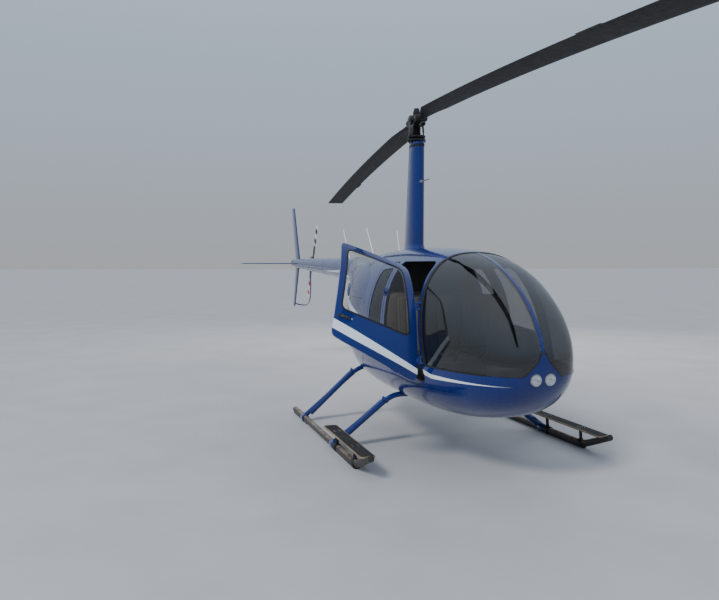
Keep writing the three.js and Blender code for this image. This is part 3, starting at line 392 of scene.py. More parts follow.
SMOKE = (0.004, 0.005, 0.006)
CLEAR_TINT = (0.010, 0.012, 0.014)
BAND_WHITE = (0.74, 0.74, 0.72)
BAND_START, BAND_WIDTH = 0.36, 0.095
PAINT = paint_material("royal_blue_paint", True)
PAINT_BARE = paint_material("royal_blue_paint_plain", False)
TINTED = glass_material("smoke_glass", SMOKE, 0.62, 2.0)
TINTED_INNER = glass_material("smoke_glass_inner", SMOKE, 0.50, 1.45, outer=False)
CLEAR = glass_material("clear_glass", CLEAR_TINT, 0.14, 2.6)
CLEAR_INNER = glass_material("clear_glass_inner", CLEAR_TINT, 0.03, 1.45, outer=False)
LENS = glass_material("lens_glass", (0.30, 0.31, 0.32), 0.10, 1.8)
SEAL = plain_material("black_seal", grey(0.006, 0.001), grey(0.014, 0.001), (0.5, 0.65), 0.0, 300.0)
BLACK_METAL = plain_material("satin_black_metal", grey(0.012, 0.001), grey(0.03, 0.002), (0.35, 0.5), 0.6)
BARE_METAL = plain_material(
    "bare_alloy", (0.34, 0.35, 0.36), (0.55, 0.56, 0.57), (0.25, 0.42), 0.95, 180.0, 0.08)
DULL_METAL = plain_material("dull_steel", grey(0.10, 0.005), grey(0.20, 0.005), (0.38, 0.55), 0.85, 90.0)
CHROME = plain_material(
    "polished_reflector", (0.78, 0.80, 0.82), (0.90, 0.91, 0.92), (0.04, 0.10), 1.0, 60.0, 0.02)
TRIM = plain_material("grey_trim", grey(0.022), (0.040, 0.039, 0.038), (0.6, 0.8), 0.0, 500.0, 0.25)
CARPET = plain_material(
    "floor_carpet", (0.018, 0.019, 0.022), (0.040, 0.042, 0.048), (0.85, 1.0), 0.0, 900.0, 0.8)
BLACK_PLASTIC = plain_material(
    "black_plastic", grey(0.010, 0.001), grey(0.022, 0.001), (0.35, 0.6), 0.0, 600.0, 0.2)
LEATHER = leather_material("seat_leather", (0.075, 0.066, 0.056), (0.125, 0.110, 0.094))
WEBBING = plain_material(
    "belt_webbing", grey(0.03, 0.002), grey(0.06, 0.004), (0.7, 0.9), 0.0, 1200.0, 0.6)
GRIP_TAPE = plain_material("grip_tape", grey(0.012), (0.03, 0.029, 0.027), (0.8, 0.98), 0.0, 1500.0, 0.9)
STEP_EDGE = plain_material(
    "worn_step_edge", (0.16, 0.12, 0.08), (0.34, 0.26, 0.17), (0.5, 0.7), 0.3, 60.0, 0.2)
EXHAUST_METAL = plain_material(
    "heat_stained_steel", (0.10, 0.075, 0.055), (0.22, 0.18, 0.15), (0.4, 0.65), 0.85, 60.0, 0.3)
BLADE = blade_material("blade_black")
BANDS_DARK = banded_material(
    "tail_blade_black_white", BAND_WHITE, grey(0.012, 0.001), BAND_START, BAND_WIDTH)
BANDS_RED = banded_material("tail_blade_red_white", BAND_WHITE, (0.42, 0.02, 0.02), BAND_START, BAND_WIDTH)
SKID_PAINT = skid_material("skid_paint_tan_on_top")
WHITE_PAINT = plain_material(
    "white_gloss_paint", grey(0.62, -0.02), grey(0.74, -0.02), (0.2, 0.35), 0.0, 90.0, 0.05, 0.5)
RED_LAMP = plain_material(
    "red_lamp", (0.45, 0.01, 0.01), (0.6, 0.02, 0.02), (0.1, 0.2), 0.0, 60.0, 0.02, 1.0)
DIAL_WHITE = plain_material("dial_marks", grey(0.55, -0.02), grey(0.7, -0.02), (0.4, 0.6))


# Body surface

def section_columns(y):
    """The section columns at stations y, by a cubic in the square root of the distance aft."""
    rows = np.sqrt(BODY_SECTIONS[:, 0] - NOSE_Y)
    s = np.sqrt(np.clip(np.asarray(y, float) - NOSE_Y, 0, None))
    k = np.clip(np.searchsorted(rows, s, side="left") - 1, 0, len(rows) - 2)
    span = rows[k + 1] - rows[k]
    t = np.clip((s - rows[k]) / span, 0, 1)
    values = BODY_SECTIONS[:, 1:]
    low = np.clip(np.arange(len(rows)) - 1, 0, None)
    high = np.clip(np.arange(len(rows)) + 1, None, len(rows) - 1)
    slopes = (values[high] - values[low]) / (rows[high] - rows[low])[:, None]
    t, span = t[..., None], span[..., None]
    p0, p1 = values[k], values[k + 1]
    m0, m1 = slopes[k] * span, slopes[k + 1] * span
    found = (p0 * (2 * t**3 - 3 * t**2 + 1) + m0 * (t**3 - 2 * t**2 + t)
             + p1 * (3 * t**2 - 2 * t**3) + m1 * (t**3 - t**2))
    bottom, top, half, belt, squareness = np.moveaxis(found, -1, 0)
    return bottom, top, np.clip(half, 0, None), belt, squareness


def body_points(y, angle):
    """Points of the outer surface, as an array with x, y and z in its last axis."""
    y, angle = np.broadcast_arrays(np.asarray(y, float), np.asarray(angle, float))
    bottom, top, half, belt, squareness = section_columns(y)
    c, s = np.cos(angle), np.sin(angle)
    power = 2 / squareness
    rise = np.where(s > 0, top - belt, belt - bottom)
    x = half * np.sign(c) * np.abs(c) ** power
    z = belt + rise * np.sign(s) * np.abs(s) ** power
    return np.stack([x, y, z], -1)


def body_normals(y, angle):
    """Outward unit normals of the outer surface."""
    step = 1e-4
    y = np.clip(y, NOSE_Y + 2e-4, None)
    along = body_points(y + step, angle) - body_points(y - step, angle)
    around = body_points(y, angle + step) - body_points(y, angle - step)
    normal = np.cross(along, around)
    return unit(normal)


def half_width_at(y, z):
    """Half width of the body at a station and height."""
    bottom, top, half, belt, squareness = section_columns(y)
    rise = np.where(z > belt, top - belt, belt - bottom)
    share = np.clip(np.abs(z - belt) / rise, 0, 1)
    return half * (1 - share**squareness) ** (1 / squareness)


def flank_normal(side, y, z):
    """Outward normal of the flank at a point given in side view."""
    step = 1e-3
    by_y = (half_width_at(y + step, z) - half_width_at(y - step, z)) / (2 * step)
    by_z = (half_width_at(y, z + step) - half_width_at(y, z - step)) / (2 * step)
    normal = np.stack([np.full_like(by_y, side, dtype=float), -by_y, -by_z], -1)
    return unit(normal)


def hoop_line(z, offset=0.0):
    """Station of the slanted line behind the windshield at a height."""
    return HOOP_FOOT[0] + (z - HOOP_FOOT[1]) * math.tan(HINGE_LEAN) + offset


def pillar_line(z, offset=0.0):
    """Station of the front of the leaning pillar between the doors."""
    return PILLAR_FOOT[0] + (z - PILLAR_FOOT[1]) * PILLAR_LEAN + offset


# Meshes

def linked(piece):
    bpy.context.scene.collection.objects.link(piece)
    return piece


def new_object(name, vertices, faces):
    mesh = bpy.data.meshes.new(name)
    mesh.from_pydata([tuple(map(float, v)) for v in vertices], [], [tuple(map(int, f)) for f in faces])
    mesh.update()
    return linked(bpy.data.objects.new(name, mesh))


def cleaned(piece, merge=0.0):
    """The piece with its normals outward, and points closer than merge made one."""
    work = bmesh.new()
    work.from_mesh(piece.data)
    if merge:
        bmesh.ops.remove_doubles(work, verts=work.verts, dist=merge)
    bmesh.ops.recalc_face_normals(work, faces=work.faces)
    work.to_mesh(piece.data)
    work.free()
    return piece


def grid_faces(rings, sides, offset=0):
    """Quads between closed rings that follow each other."""
    faces = []
    for start in range(offset, offset + (rings - 1) * sides, sides):
        for k in range(sides):
            a, b = start + k, start + (k + 1) % sides
            faces.append((a, b, b + sides, a + sides))
    return faces


def ring_loft(name, rings, closed=False):
    """Skin through rings of equal length. closed joins the last ring to the first."""
    rings = [np.asarray(ring, float) for ring in rings]
    sides = len(rings[0])
    last = (len(rings) - 1) * sides
    faces = grid_faces(len(rings), sides)
    if closed:
        faces += [(last + k, last + (k + 1) % sides, (k + 1) % sides, k) for k in range(sides)]
    else:
        faces += [tuple(reversed(range(sides))), tuple(range(last, last + sides))]
    return cleaned(new_object(name, np.concatenate(rings), faces))


def unit(rows):
    return rows / np.linalg.norm(rows, axis=-1, keepdims=True)


def tangents(path, closed):
    """Unit direction at each point of a path."""
    return unit(np.roll(path, -1, 0) - np.roll(path, 1, 0) if closed else np.gradient(path, axis=0))


def sweep(name, path, section, up=Z_AXIS, closed=False, scales=None):
    """A section, given as side and up rows, carried along a path."""
    path = np.asarray(path, float)
    tangent = tangents(path, closed)
    side = unit(np.cross(tangent, np.asarray(up, float)))
    top = np.cross(side, tangent)
    scales = np.ones(len(path)) if scales is None else scales
    rings = [[p + scale * (u * s + v * t) for u, v in section]
             for p, s, t, scale in zip(path, side, top, scales)]
    return ring_loft(name, rings, closed)


def turn_steps(sides):
    """Angles of a full turn in equal steps."""
    return np.arange(sides) * 2 * math.pi / sides


def chord_steps(sides):
    """Shares of the chord around a closed section, each with 1 on one face and -1 on the other."""
    return [((1 - math.cos(a)) / 2, 1 if math.sin(a) >= 0 else -1) for a in turn_steps(sides)]


def foil_half(along, closing):
    """Half thickness of an airfoil at a share of its chord, by the usual polynomial."""
    return (0.2969 * math.sqrt(along) - 0.126 * along - 0.3516 * along**2 + 0.2843 * along**3
            - closing * along**4)


def circle(radius, sides=20):
    return [(radius * math.cos(a), radius * math.sin(a)) for a in turn_steps(sides)]


def rounded_rectangle(width, height, radius, steps=4):
    points = []
    for cx, cy, start in ((1, 1, 0), (-1, 1, 90), (-1, -1, 180), (1, -1, 270)):
        for k in range(steps + 1):
            angle = math.radians(start + 90 * k / steps)
            points.append((cx * (width / 2 - radius) + radius * math.cos(angle),
                           cy * (height / 2 - radius) + radius * math.sin(angle)))
    return points


def tube(name, path, radius, sides=20, up=Z_AXIS, closed=False):
    return sweep(name, path, circle(radius, sides), up, closed)


def smooth_path(points, count):
    """Catmull-Rom curve through given points."""
    points = np.asarray(points, float)
    padded = np.concatenate([[2 * points[0] - points[1]], points, [2 * points[-1] - points[-2]]])
    out = []
    for k in range(len(points) - 1):
        p0, p1, p2, p3 = padded[k:k + 4]
        for t in np.linspace(0, 1, count, endpoint=False):
            out.append(0.5 * (2 * p1 + (p2 - p0) * t + (2 * p0 - 5 * p1 + 4 * p2 - p3) * t**2
                              + (3 * p1 - p0 - 3 * p2 + p3) * t**3))
    return np.array([*out, points[-1]])


def rounded_corner(before, here, after, reach, steps):
    """Points of a quadratic curve that replaces a corner over a reach."""
    start = here + (before - here) / np.linalg.norm(before - here) * reach
    end = here + (after - here) / np.linalg.norm(after - here) * reach
    shares = np.linspace(0, 1, steps + 1)
    return [(1 - t) ** 2 * start + 2 * t * (1 - t) * here + t**2 * end for t in shares]


def bent_path(points, bend, steps=8):
    """Straight runs with each inner corner rounded over a length."""
    points = [np.asarray(p, float) for p in points]
    out = [points[0]]
    for corner in zip(points, points[1:], points[2:]):
        out += rounded_corner(*corner, bend, steps)
    return np.array([*out, points[-1]])


def corner_rows(corners):
    """Rows of u, v and corner radius, where a radius that isn't given is zero."""
    return [(*row, 0.0)[:3] for row in corners]


def rounded_outline(corners, steps=8):
    """Outline points from corner rows, with quadratic corners."""
    corners = corner_rows(corners)
    points = [np.array(row[:2]) for row in corners]
    out = []
    for k, (_, _, radius) in enumerate(corners):
        if radius > 0:
            out += rounded_corner(points[k - 1], points[k], points[(k + 1) % len(points)], radius, steps)
        else:
            out.append(points[k])
    return np.array(out)


def rectangle(u0, u1, v0, v1, radius=0.0):
    """Corner rows of an upright rectangle."""
    return [(u0, v0, radius), (u1, v0, radius), (u1, v1, radius), (u0, v1, radius)]


def divided(outline, count, closed=True):
    """An outline with each of its sides split into equal steps."""
    ends = np.roll(outline, -1, 0)
    shares = np.linspace(0, 1, count, endpoint=False)[:, None]
    runs = [here + (there - here) * shares for here, there in zip(outline, ends)]
    return np.concatenate(runs if closed else [*runs[:-1], outline[-1:]])


def lathe(name, profile, centre=ORIGIN, axis=Z_AXIS, sides=32):
    """A profile of radius and height rows turned around an axis through centre."""
    turn = Vector(Z_AXIS).rotation_difference(Vector(axis)).to_matrix()
    rings = [[turn @ Vector((*point, height)) + Vector(centre) for point in circle(radius, sides)]
             for radius, height in profile]
    return cleaned(ring_loft(name, rings), merge=1e-6)


def mirrored(profile):
    """A profile given from its top to its middle, with the lower half added."""
    return [(radius, -height) for radius, height in profile] + profile[::-1]


def disc(name, radius, low, high, centre=ORIGIN, axis=Z_AXIS, sides=32):
    return lathe(name, [(0, low), (radius, low), (radius, high), (0, high)], centre, axis, sides)


def screw(centre, axis, sides, foot_radius, rim_radius, rim, top, foot=0.0):
    """Screw or bolt head that narrows from its foot to its rim."""
    rows = [(0, foot), (foot_radius, foot), (rim_radius, rim), (0, top)]
    return lathe("screw", rows, centre, axis, sides)


def nut(centre, axis, radius, rim, top_radius, top, foot=0.0, sides=6):
    """Nut, or bolt head with flat sides, with a chamfered top."""
    rows = [(0, foot), (radius, foot), (radius, rim), (top_radius, top), (0, top)]
    return lathe("nut", rows, centre, axis, sides)


def bevelled_box(name, low, high, bevel=0.004, segments=3):
    piece = new_object(name, [], [])
    work = bmesh.new()
    bmesh.ops.create_cube(work, size=1.0)
    low, high = Vector(low), Vector(high)
    for vertex in work.verts:
        vertex.co = Vector(vertex.co) * (high - low) + (low + high) / 2
    bmesh.ops.bevel(work, geom=work.edges[:], offset=bevel, segments=segments, affect="EDGES", profile=0.5)
    work.to_mesh(piece.data)
    work.free()
    return piece


def apply_modifiers(piece):
    graph = bpy.context.evaluated_depsgraph_get()
    old = piece.data
    piece.data = bpy.data.meshes.new_from_object(piece.evaluated_get(graph))
    piece.modifiers.clear()
    bpy.data.meshes.remove(old)
    return piece


def bevel_sharp(piece, width, segments=2, angle=35):
    modifier = piece.modifiers.new("edges", "BEVEL")
    modifier.width = width
    modifier.segments = segments
    modifier.limit_method = "ANGLE"
    modifier.angle_limit = math.radians(angle)
    return apply_modifiers(piece)


def painted(material, *pieces):
    """The pieces, each with a material of its own."""
    for piece in pieces:
        piece.data.materials.append(material)
    return list(pieces)


def moved(piece, matrix):
    piece.data.transform(matrix)
    return piece


def join(name, pieces):
    """One object from several, each keeping its materials."""
    target = pieces[0]
    with bpy.context.temp_override(
        active_object=target, object=target, selected_objects=pieces, selected_editable_objects=pieces,
    ):
        bpy.ops.object.join()
    target.name = name
    target.data.name = name
    return target


def set_materials(mesh, materials):
    """Several materials take the places that the faces already use. One goes everywhere."""
    marks = [0] * len(mesh.polygons)
    if len(materials) > 1:
        mesh.polygons.foreach_get("material_index", marks)
    mesh.materials.clear()
    for material in materials:
        mesh.materials.append(material)
    mesh.polygons.foreach_set("material_index", marks)


def finish(piece, material, node=None, body="airframe", swing=None):
    """Puts a piece in the part's frame, on its body and for the node it stands for.

    The material is one, several, or None for a piece that keeps its own.
    """
    mesh = piece.data
    coordinates = np.empty(len(mesh.vertices) * 3, np.float32)
    mesh.vertices.foreach_get("co", coordinates)
    home = mesh.attributes.new("home", "FLOAT_VECTOR", "POINT")
    home.data.foreach_set("vector", coordinates)
    mesh.transform(Matrix.Translation(MAST))
    if swing is not None:
        mesh.transform(swing)
    if material:
        set_materials(mesh, material if isinstance(material, tuple) else (material,))
    mesh.polygons.foreach_set("use_smooth", [True] * len(mesh.polygons))
    mesh.set_sharp_from_angle(angle=SHARP_ANGLE)
    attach(piece, body)
    if node:
        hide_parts(node)


# Cutting the shell into its panels

def body_skin(inset):
    """Vertices and faces of the whole body's skin, moved in by an inset."""
    share = np.linspace(0, 1, BODY_RINGS + 1)[1:]
    stations = NOSE_Y + (BODY_END_Y - NOSE_Y) * share**RING_CROWDING
    angles = (np.arange(BODY_SIDES) + 0.5) * 2 * math.pi / BODY_SIDES
    y, angle = np.meshgrid(stations, angles, indexing="ij")
    points = body_points(y, angle) - inset * body_normals(y, angle)
    points[-1, :, 1] -= inset
    nose = np.array([[0.0, NOSE_Y + inset, BODY_SECTIONS[0, 1]]])
    tail = points[-1].mean(0, keepdims=True)
    vertices = np.concatenate([nose, points.reshape(-1, 3), tail])
    last = 1 + (BODY_RINGS - 1) * BODY_SIDES
    end = len(vertices) - 1
    faces = [(0, 1 + (k + 1) % BODY_SIDES, 1 + k) for k in range(BODY_SIDES)]
    faces += grid_faces(BODY_RINGS, BODY_SIDES, 1)
    faces += [(last + k, last + (k + 1) % BODY_SIDES, end) for k in range(BODY_SIDES)]
    return vertices, [face[::-1] for face in faces]


def shell_object(name, outer, inner):
    """Hollow body between two insets. The inner skin has the second material."""
    outer_points, faces = body_skin(outer)
    inner_points, _ = body_skin(inner)
    count = len(outer_points)
    turned = [tuple(i + count for i in reversed(face)) for face in faces]
    piece = new_object(name, np.concatenate([outer_points, inner_points]), faces + turned)
    piece.data.materials.append(PAINT)
    piece.data.materials.append(TRIM)
    piece.data.polygons.foreach_set("material_index", [0] * len(faces) + [1] * len(turned))
    return piece


def grow(corners, distance):
    """The same convex outline with every edge moved out."""
    corners = corner_rows(corners)
    points = [np.array(row[:2]) for row in corners]
    grown = []
    for k, (_, _, radius) in enumerate(corners):
        before = unit(points[k] - points[k - 1])
        after = unit(points[(k + 1) % len(points)] - points[k])
        out_before = np.array([before[1], -before[0]])
        out_after = np.array([after[1], -after[0]])
        bisector = (out_before + out_after) * distance / (1 + out_before @ out_after)
        grown.append((*(points[k] + bisector), max(radius + distance, 0.0)))
    return grown


def prism(corners, low, high, order):
    """Closed prism over rounded corners. order says which of u, v and depth is x, y and z."""
    outline = rounded_outline(corners)
    count = len(outline)
    rows = [(u, v, depth) for depth in (low, high) for u, v in outline]
    faces = [(k, (k + 1) % count, count + (k + 1) % count, count + k) for k in range(count)]
    faces += [tuple(reversed(range(count))), tuple(range(count, 2 * count))]
    return cleaned(new_object("cutter", [[row[i] for i in order] for row in rows], faces))


def side_prism(corners, x0=-FAR, x1=FAR):
    return prism(corners, x0, x1, (2, 0, 1))


def block(x0, x1, y0, y1, z0, z1):
    return side_prism(rectangle(y0, y1, z0, z1), x0, x1)


def side_limits(side):
    """Lowest and highest x of one side of the part."""
    return (0.0, FAR) if side > 0 else (-FAR, 0.0)


def carve(name, source, keep=(), drop=()):
    """What is left of a copy of source inside every keep cutter and outside every drop cutter."""
    piece = linked(bpy.data.objects.new(name, source.data.copy()))
    for operation, cutters in (("INTERSECT", keep), ("DIFFERENCE", drop)):
        for cutter in cutters:
            modifier = piece.modifiers.new("cut", "BOOLEAN")
            modifier.operation = operation
            modifier.solver = "MANIFOLD"
            modifier.object = cutter
    return apply_modifiers(piece)


def leaning_slab(line, low, high, near, far, x0=-FAR, x1=FAR):
    """Everything between two heights and two offsets from a leaning line."""
    return side_prism([(line(low, near), low), (line(low, far), low),
                       (line(high, far), high), (line(high, near), high)], x0, x1)


def nose_corner(x, z):
    """Corner row of the nose panel, which is rounded between its foot and its tip."""
    return x, z, NOSE_PANEL_ROUND if GLASS_LINE_Z < z < NOSE_PANEL_TIP_Z else 0.0


def both_sides(corners):
    return corners + [(-x, z, radius) for x, z, radius in reversed(corners)]


def nose_panel(growth):
    right = [(width + growth, z) for width, z in NOSE_PANEL]
    right[-1] = (right[-1][0], right[-1][1] + growth)
    right = [(right[0][0], GLASS_LINE_Z - 0.1)] + right
    corners = both_sides([nose_corner(*row) for row in right])
    return prism(corners, AHEAD_Y, NOSE_PANEL_REAR_Y, (0, 2, 1))


def build_panels(cabin, glass):
    def panel(name, node, keep, drop=(), look=(PAINT, TRIM), source=cabin):
        finish(carve(name, source, keep, drop), look, node)

    behind = REAR_HOOP_FRONT_Y - PANEL_GAP
    glass_low = GLASS_LINE_Z + PANEL_GAP

    def hoop_rear(z):
        return hoop_line(z, HOOP_WIDTH + PANEL_GAP), z

    openings = [side_prism(grow(door["outline"], DOOR_GAP)) for door in DOORS.values()]
    lamp_holes = [disc("cutter", LIGHT_RADIUS, -0.08, 0.2, (side * LIGHT_X, NOSE_Y, LIGHT_Z), Y_AXIS, 40)
                  for side in (-1, 1)]
    low = side_prism([(AHEAD_Y, 0.2), (behind, 0.2), (behind, TUB_TOP_Z), hoop_rear(TUB_TOP_Z),
                      hoop_rear(GLASS_LINE_Z), (AHEAD_Y, GLASS_LINE_Z)])
    tub = carve("tub", cabin, [low], [*openings, *lamp_holes])
    above_glass_line = block(-1, 1, -3, NOSE_PANEL_REAR_Y, GLASS_LINE_Z, 2)
    between_panes = carve("nose", cabin, [nose_panel(0.0), above_glass_line], lamp_holes)
    finish(join("lower_shell", [tub, between_panes]), (PAINT, TRIM), "cabin_tub")

    roof_region = side_prism([hoop_rear(ROOF_LOW_Z), (behind, ROOF_LOW_Z), (behind, ABOVE_ROOF_Z),
                              hoop_rear(ABOVE_ROOF_Z)])
    panel("roof_panel", "cabin_roof", [roof_region], openings)
    panel("windshield_frame", "windshield_hoop",
          [leaning_slab(hoop_line, glass_low, ABOVE_ROOF_Z, 0.0, HOOP_WIDTH)])
    panel("rear_frame", "rear_hoop", [block(-FAR, FAR, REAR_HOOP_FRONT_Y, REAR_HOOP_REAR_Y, 0, FAR)])
    for label, side in SIDES:
        post = leaning_slab(pillar_line, TUB_TOP_Z + PANEL_GAP, ROOF_LOW_Z - PANEL_GAP, 0.0, PILLAR_WIDTH,
                            *side_limits(side))
        panel(f"centre_post_{label}", f"b_pillar_{label}", [post])

    glass_region = side_prism([(AHEAD_Y, glass_low), (hoop_line(glass_low, -PANEL_GAP), glass_low),
                               (hoop_line(ABOVE_ROOF_Z, -PANEL_GAP), ABOVE_ROOF_Z), (AHEAD_Y, ABOVE_ROOF_Z)])
    bow_gap = BOW_HALF_WIDTH + PANEL_GAP
    for label, side in SIDES:
        panel(f"windshield_pane_{label}", f"windshield_{label}",
              [glass_region, block(*side_limits(side), -FAR, FAR, 0.0, FAR)],
              [nose_panel(PANEL_GAP), block(-bow_gap, bow_gap, -3, 0, 0, FAR)],
              (TINTED, TINTED_INNER), glass)
    panel("windshield_spine", "windshield_bow",
          [glass_region, block(-BOW_HALF_WIDTH, BOW_HALF_WIDTH, AHEAD_Y, 0.0, 0.0, FAR)],
          [nose_panel(PANEL_GAP)], (PAINT_BARE, TRIM))


def surface_strip(name, centre, normal, width, height, closed=True):
    """Flat raised strip along points on a surface, square to the surface normals there."""
    across = unit(np.cross(normal, tangents(centre, closed)))
    section = [(-0.5, -0.4), (-0.5, 0.5), (-0.32, 1.0), (0.32, 1.0), (0.5, 0.5), (0.5, -0.4)]
    rings = [[c + a * u * width + n * v * height for u, v in section]
             for c, a, n in zip(centre, across, normal)]
    return ring_loft(name, rings, closed)


def closed_points(outline, longest=0.03):
    """A closed outline with points no further apart than longest."""
    points = []
    for here, there in zip(outline, np.roll(outline, -1, 0)):
        count = max(math.ceil(np.linalg.norm(there - here) / longest), 1)
        points += [here + (there - here) * t for t in np.linspace(0, 1, count, endpoint=False)]
    return np.array(points)


def flank_points(side, y, z, inset=0.0):
    """Points of the flank, or of a surface inside it, from a side view."""
    y, z = np.broadcast_arrays(np.asarray(y, float), np.asarray(z, float))
    return np.stack([side * (half_width_at(y, z) - inset), y, z], -1)


def flank_strip(name, outline, side, width, height, closed=True):
    """Strip that follows a side view outline on the flank."""
    y, z = outline[:, 0], outline[:, 1]
    return surface_strip(name, flank_points(side, y, z), flank_normal(side, y, z), width, height, closed)


def jamb_strip(name, outline, side, width, height):
    """Strip along the edge of a door opening, set into the thickness of the shell."""
    centre = flank_points(side, outline[:, 0], outline[:, 1], height + 0.002)
    return surface_strip(name, centre, np.tile([side, 0.0, 0.0], (len(centre), 1)), width, height)


def front_points(x, z):
    """Points of the nose's surface from a front view outline."""
    x, z = np.asarray(x, float), np.asarray(z, float)
    low = np.full_like(x, NOSE_Y + 1e-4)
    high = np.full_like(x, -0.9)
    for _ in range(44):
        middle = (low + high) / 2
        bottom, top, _, _, _ = section_columns(middle)
        inside = (z > bottom) & (z < top) & (half_width_at(middle, z) >= np.abs(x))
        high = np.where(inside, middle, high)
        low = np.where(inside, low, middle)
    return np.stack([x, (low + high) / 2, z], -1)


def front_normals(x, z):
    """Outward normals of the nose at points given in front view."""
    step = 1e-3
    by_x = front_points(x + step, z) - front_points(x - step, z)
    by_z = front_points(x, z + step) - front_points(x, z - step)
    normal = unit(np.cross(by_x, by_z))
    return np.where(normal[:, 1:2] > 0, -normal, normal)


def slanted_curve(offset, lowest):
    """Points and normals where the slanted plane behind the windshield meets the skin above a height."""
    angle = np.linspace(-0.35, math.pi + 0.35, 260)
    y = np.full_like(angle, -1.4)
    for _ in range(40):
        y = hoop_line(body_points(y, angle)[:, 2], offset)
    points, normals = body_points(y, angle), body_normals(y, angle)
    above = points[:, 2] > lowest
    return points[above], normals[above]


def door_swing():
    """Turn that carries the starboard front door from shut to its place at rest."""
    joint = JOINTS["front_door_right_hinge"]
    point = Matrix.Translation(joint["pos_m"])
    return point @ Matrix.Rotation(OPEN_DOOR_ANGLE, 4, Vector(joint["axis"])) @ point.inverted()


# Columns: width, height, depth, lift, shift upward, material.
HANDLE_PLATES = (
    (0.100, 0.027, 0.004, 0.001, 0.0, BLACK_PLASTIC),
    (0.052, 0.012, 0.007, 0.005, 0.001, CHROME),
)
LOCK = [(0, -0.004), (0.008, -0.004), (0.008, 0.004), (0.006, 0.0055), (0, 0.0055)]
LOCK_AHEAD = 0.068


def door_handle(name, side, y, z):
    """Recessed cup, flush lever and lock button at a point of the flank."""
    normal = Vector(flank_normal(side, np.array([y]), np.array([z]))[0])
    centre = Vector(flank_points(side, y, z))
    along = (Vector(Y_AXIS) - normal * normal.y).normalized()
    up = normal.cross(along) * side
    up = up if up.z > 0 else -up
    parts = []
    for width, height, depth, lift, shift, material in HANDLE_PLATES:
        outline = rounded_rectangle(width, height, height * 0.45, 5)
        rings = [[centre + along * (u * scale) + up * (v * scale + shift) + normal * (lift + rise)
                  for u, v in outline]
                 for scale, rise in ((1.0, -depth), (1.0, 0.3 * depth), (0.93, depth))]
        parts += painted(material, ring_loft("plate", rings))
    lock = lathe("lock", LOCK, centre - along * LOCK_AHEAD, normal, 20)
    return join(name, parts + painted(BARE_METAL, lock))


KNUCKLE_RADIUS = 0.008
KNUCKLE_CHAMFER = 0.0015
MOVING_HALF_LENGTH, FIXED_HALF_LENGTH = 0.017, 0.008
FIXED_SHIFT = 0.0258


def hinge_pieces(name, joint, heights, side):
    """Knuckles of one door: middle ones for the door, outer ones for the post, along the axis."""
    axis = Vector(joint["axis"]).normalized()
    axis = axis if axis.z > 0 else -axis
    base = Vector(joint["pos_m"]) - MAST
    moving, fixed = [], []
    for height in heights:
        centre = base + axis * ((height - base.z) / axis.z)
        for shift, half_length, store, back in (
            (0.0, MOVING_HALF_LENGTH, moving, 1),
            (FIXED_SHIFT, FIXED_HALF_LENGTH, fixed, -1),
            (-FIXED_SHIFT, FIXED_HALF_LENGTH, fixed, -1),
        ):
            middle = centre + axis * shift
            profile = mirrored([(0, half_length), (0.0065, half_length),
                                (KNUCKLE_RADIUS, half_length - KNUCKLE_CHAMFER)])
            reach = Vector((-side * 0.030, 0.028 * back, 0))
            reach -= axis * reach.dot(axis)
            leaf = rounded_rectangle(0.0075, half_length * 1.8, 0.0025, 3)
            store.append(lathe("knuckle", profile, middle, axis, 24))
            store.append(sweep("leaf", [middle, middle + reach * 0.5, middle + reach], leaf, axis))
    return join(f"{name}_door_hinges", moving), join(f"{name}_post_hinges", fixed)


def build_door(row, label, side, cabin, glass):
    door = DOORS[row]
    body = f"{row}_door_{label}"
    name = f"{row}_{label}"
    swing = door_swing() if name == "front_right" else None
    outline, window = door["outline"], door["window"]

    def hang(piece, material, node=None):
        finish(piece, material, node, body, swing)

    skin = carve(f"{name}_door_skin", cabin, [side_prism(outline, *side_limits(side))],
                 [side_prism(window, *side_limits(side))])
    hang(skin, (PAINT, TRIM), f"door_{name}")
    pane = carve(f"{name}_door_glass", glass, [side_prism(grow(window, -0.001), *side_limits(side))])
    hang(pane, (CLEAR, CLEAR_INNER), f"window_{name}")
    seal_line = closed_points(rounded_outline(window, 14))
    hang(flank_strip(f"{name}_window_seal", seal_line, side, 0.014, 0.0025), SEAL)
    hang(door_handle(f"{name}_handle", side, *door["handle"]), None)
    # Black strip 16 mm deep in the door jamb: partly the rubber seal, partly painted shade on the cut faces
    # of the wall.
    edge = closed_points(rounded_outline(grow(outline, 0.0058), 14))
    finish(jamb_strip(f"{name}_jamb_seal", edge, side, 0.0040, 0.016), SEAL)
    moving, fixed = hinge_pieces(name, JOINTS[f"{body}_hinge"], door["hinges"], side)
    hang(moving, PAINT_BARE)
    finish(fixed, PAINT_BARE)


def build_windshield_strips():
    # The first strip is the black seal along the windshield's rear edge. It is 36 mm wide so that it covers
    # most of the hoop: partly the real seal, partly painted shade over the frame.
    points, normals = slanted_curve(0.004, GLASS_LINE_Z)
    parts = [surface_strip("edge", points, normals, 0.036, 0.0022, closed=False)]
    stations = np.linspace(hoop_line(GLASS_LINE_Z) + 0.002, -2.25, 90)
    y = stations[half_width_at(stations, np.full_like(stations, GLASS_LINE_Z)) > NOSE_PANEL[0][0] + 0.004]
    low_edge = np.stack([y, np.full_like(y, GLASS_LINE_Z + 0.003)], -1)
    parts += [flank_strip("edge", low_edge, side, 0.014, 0.002, closed=False) for side in (-1, 1)]
    right = [nose_corner(*row) for row in NOSE_PANEL]
    right[0] = (right[0][0], right[0][1] - 0.005, 0.0)
    right[-1] = (*right[-1][:2], 0.004)
    x, z = divided(rounded_outline(both_sides(right), 6), 6, closed=False).T
    points, normals = front_points(x, z), front_normals(x, z)
    parts.append(surface_strip("edge", points, normals, 0.010, 0.002, closed=False))
    finish(join("windshield_seals", parts), SEAL)

    points, normals = slanted_curve(-0.005, GLASS_LINE_Z + 0.02)
    studs = [screw(points[k] + normals[k] * 0.0012, normals[k], 10, 0.0042, 0.0036, 0.0022, 0.0028)
             for k in range(6, len(points) - 4, 9)]
    finish(join("windshield_fasteners", studs), DULL_METAL)


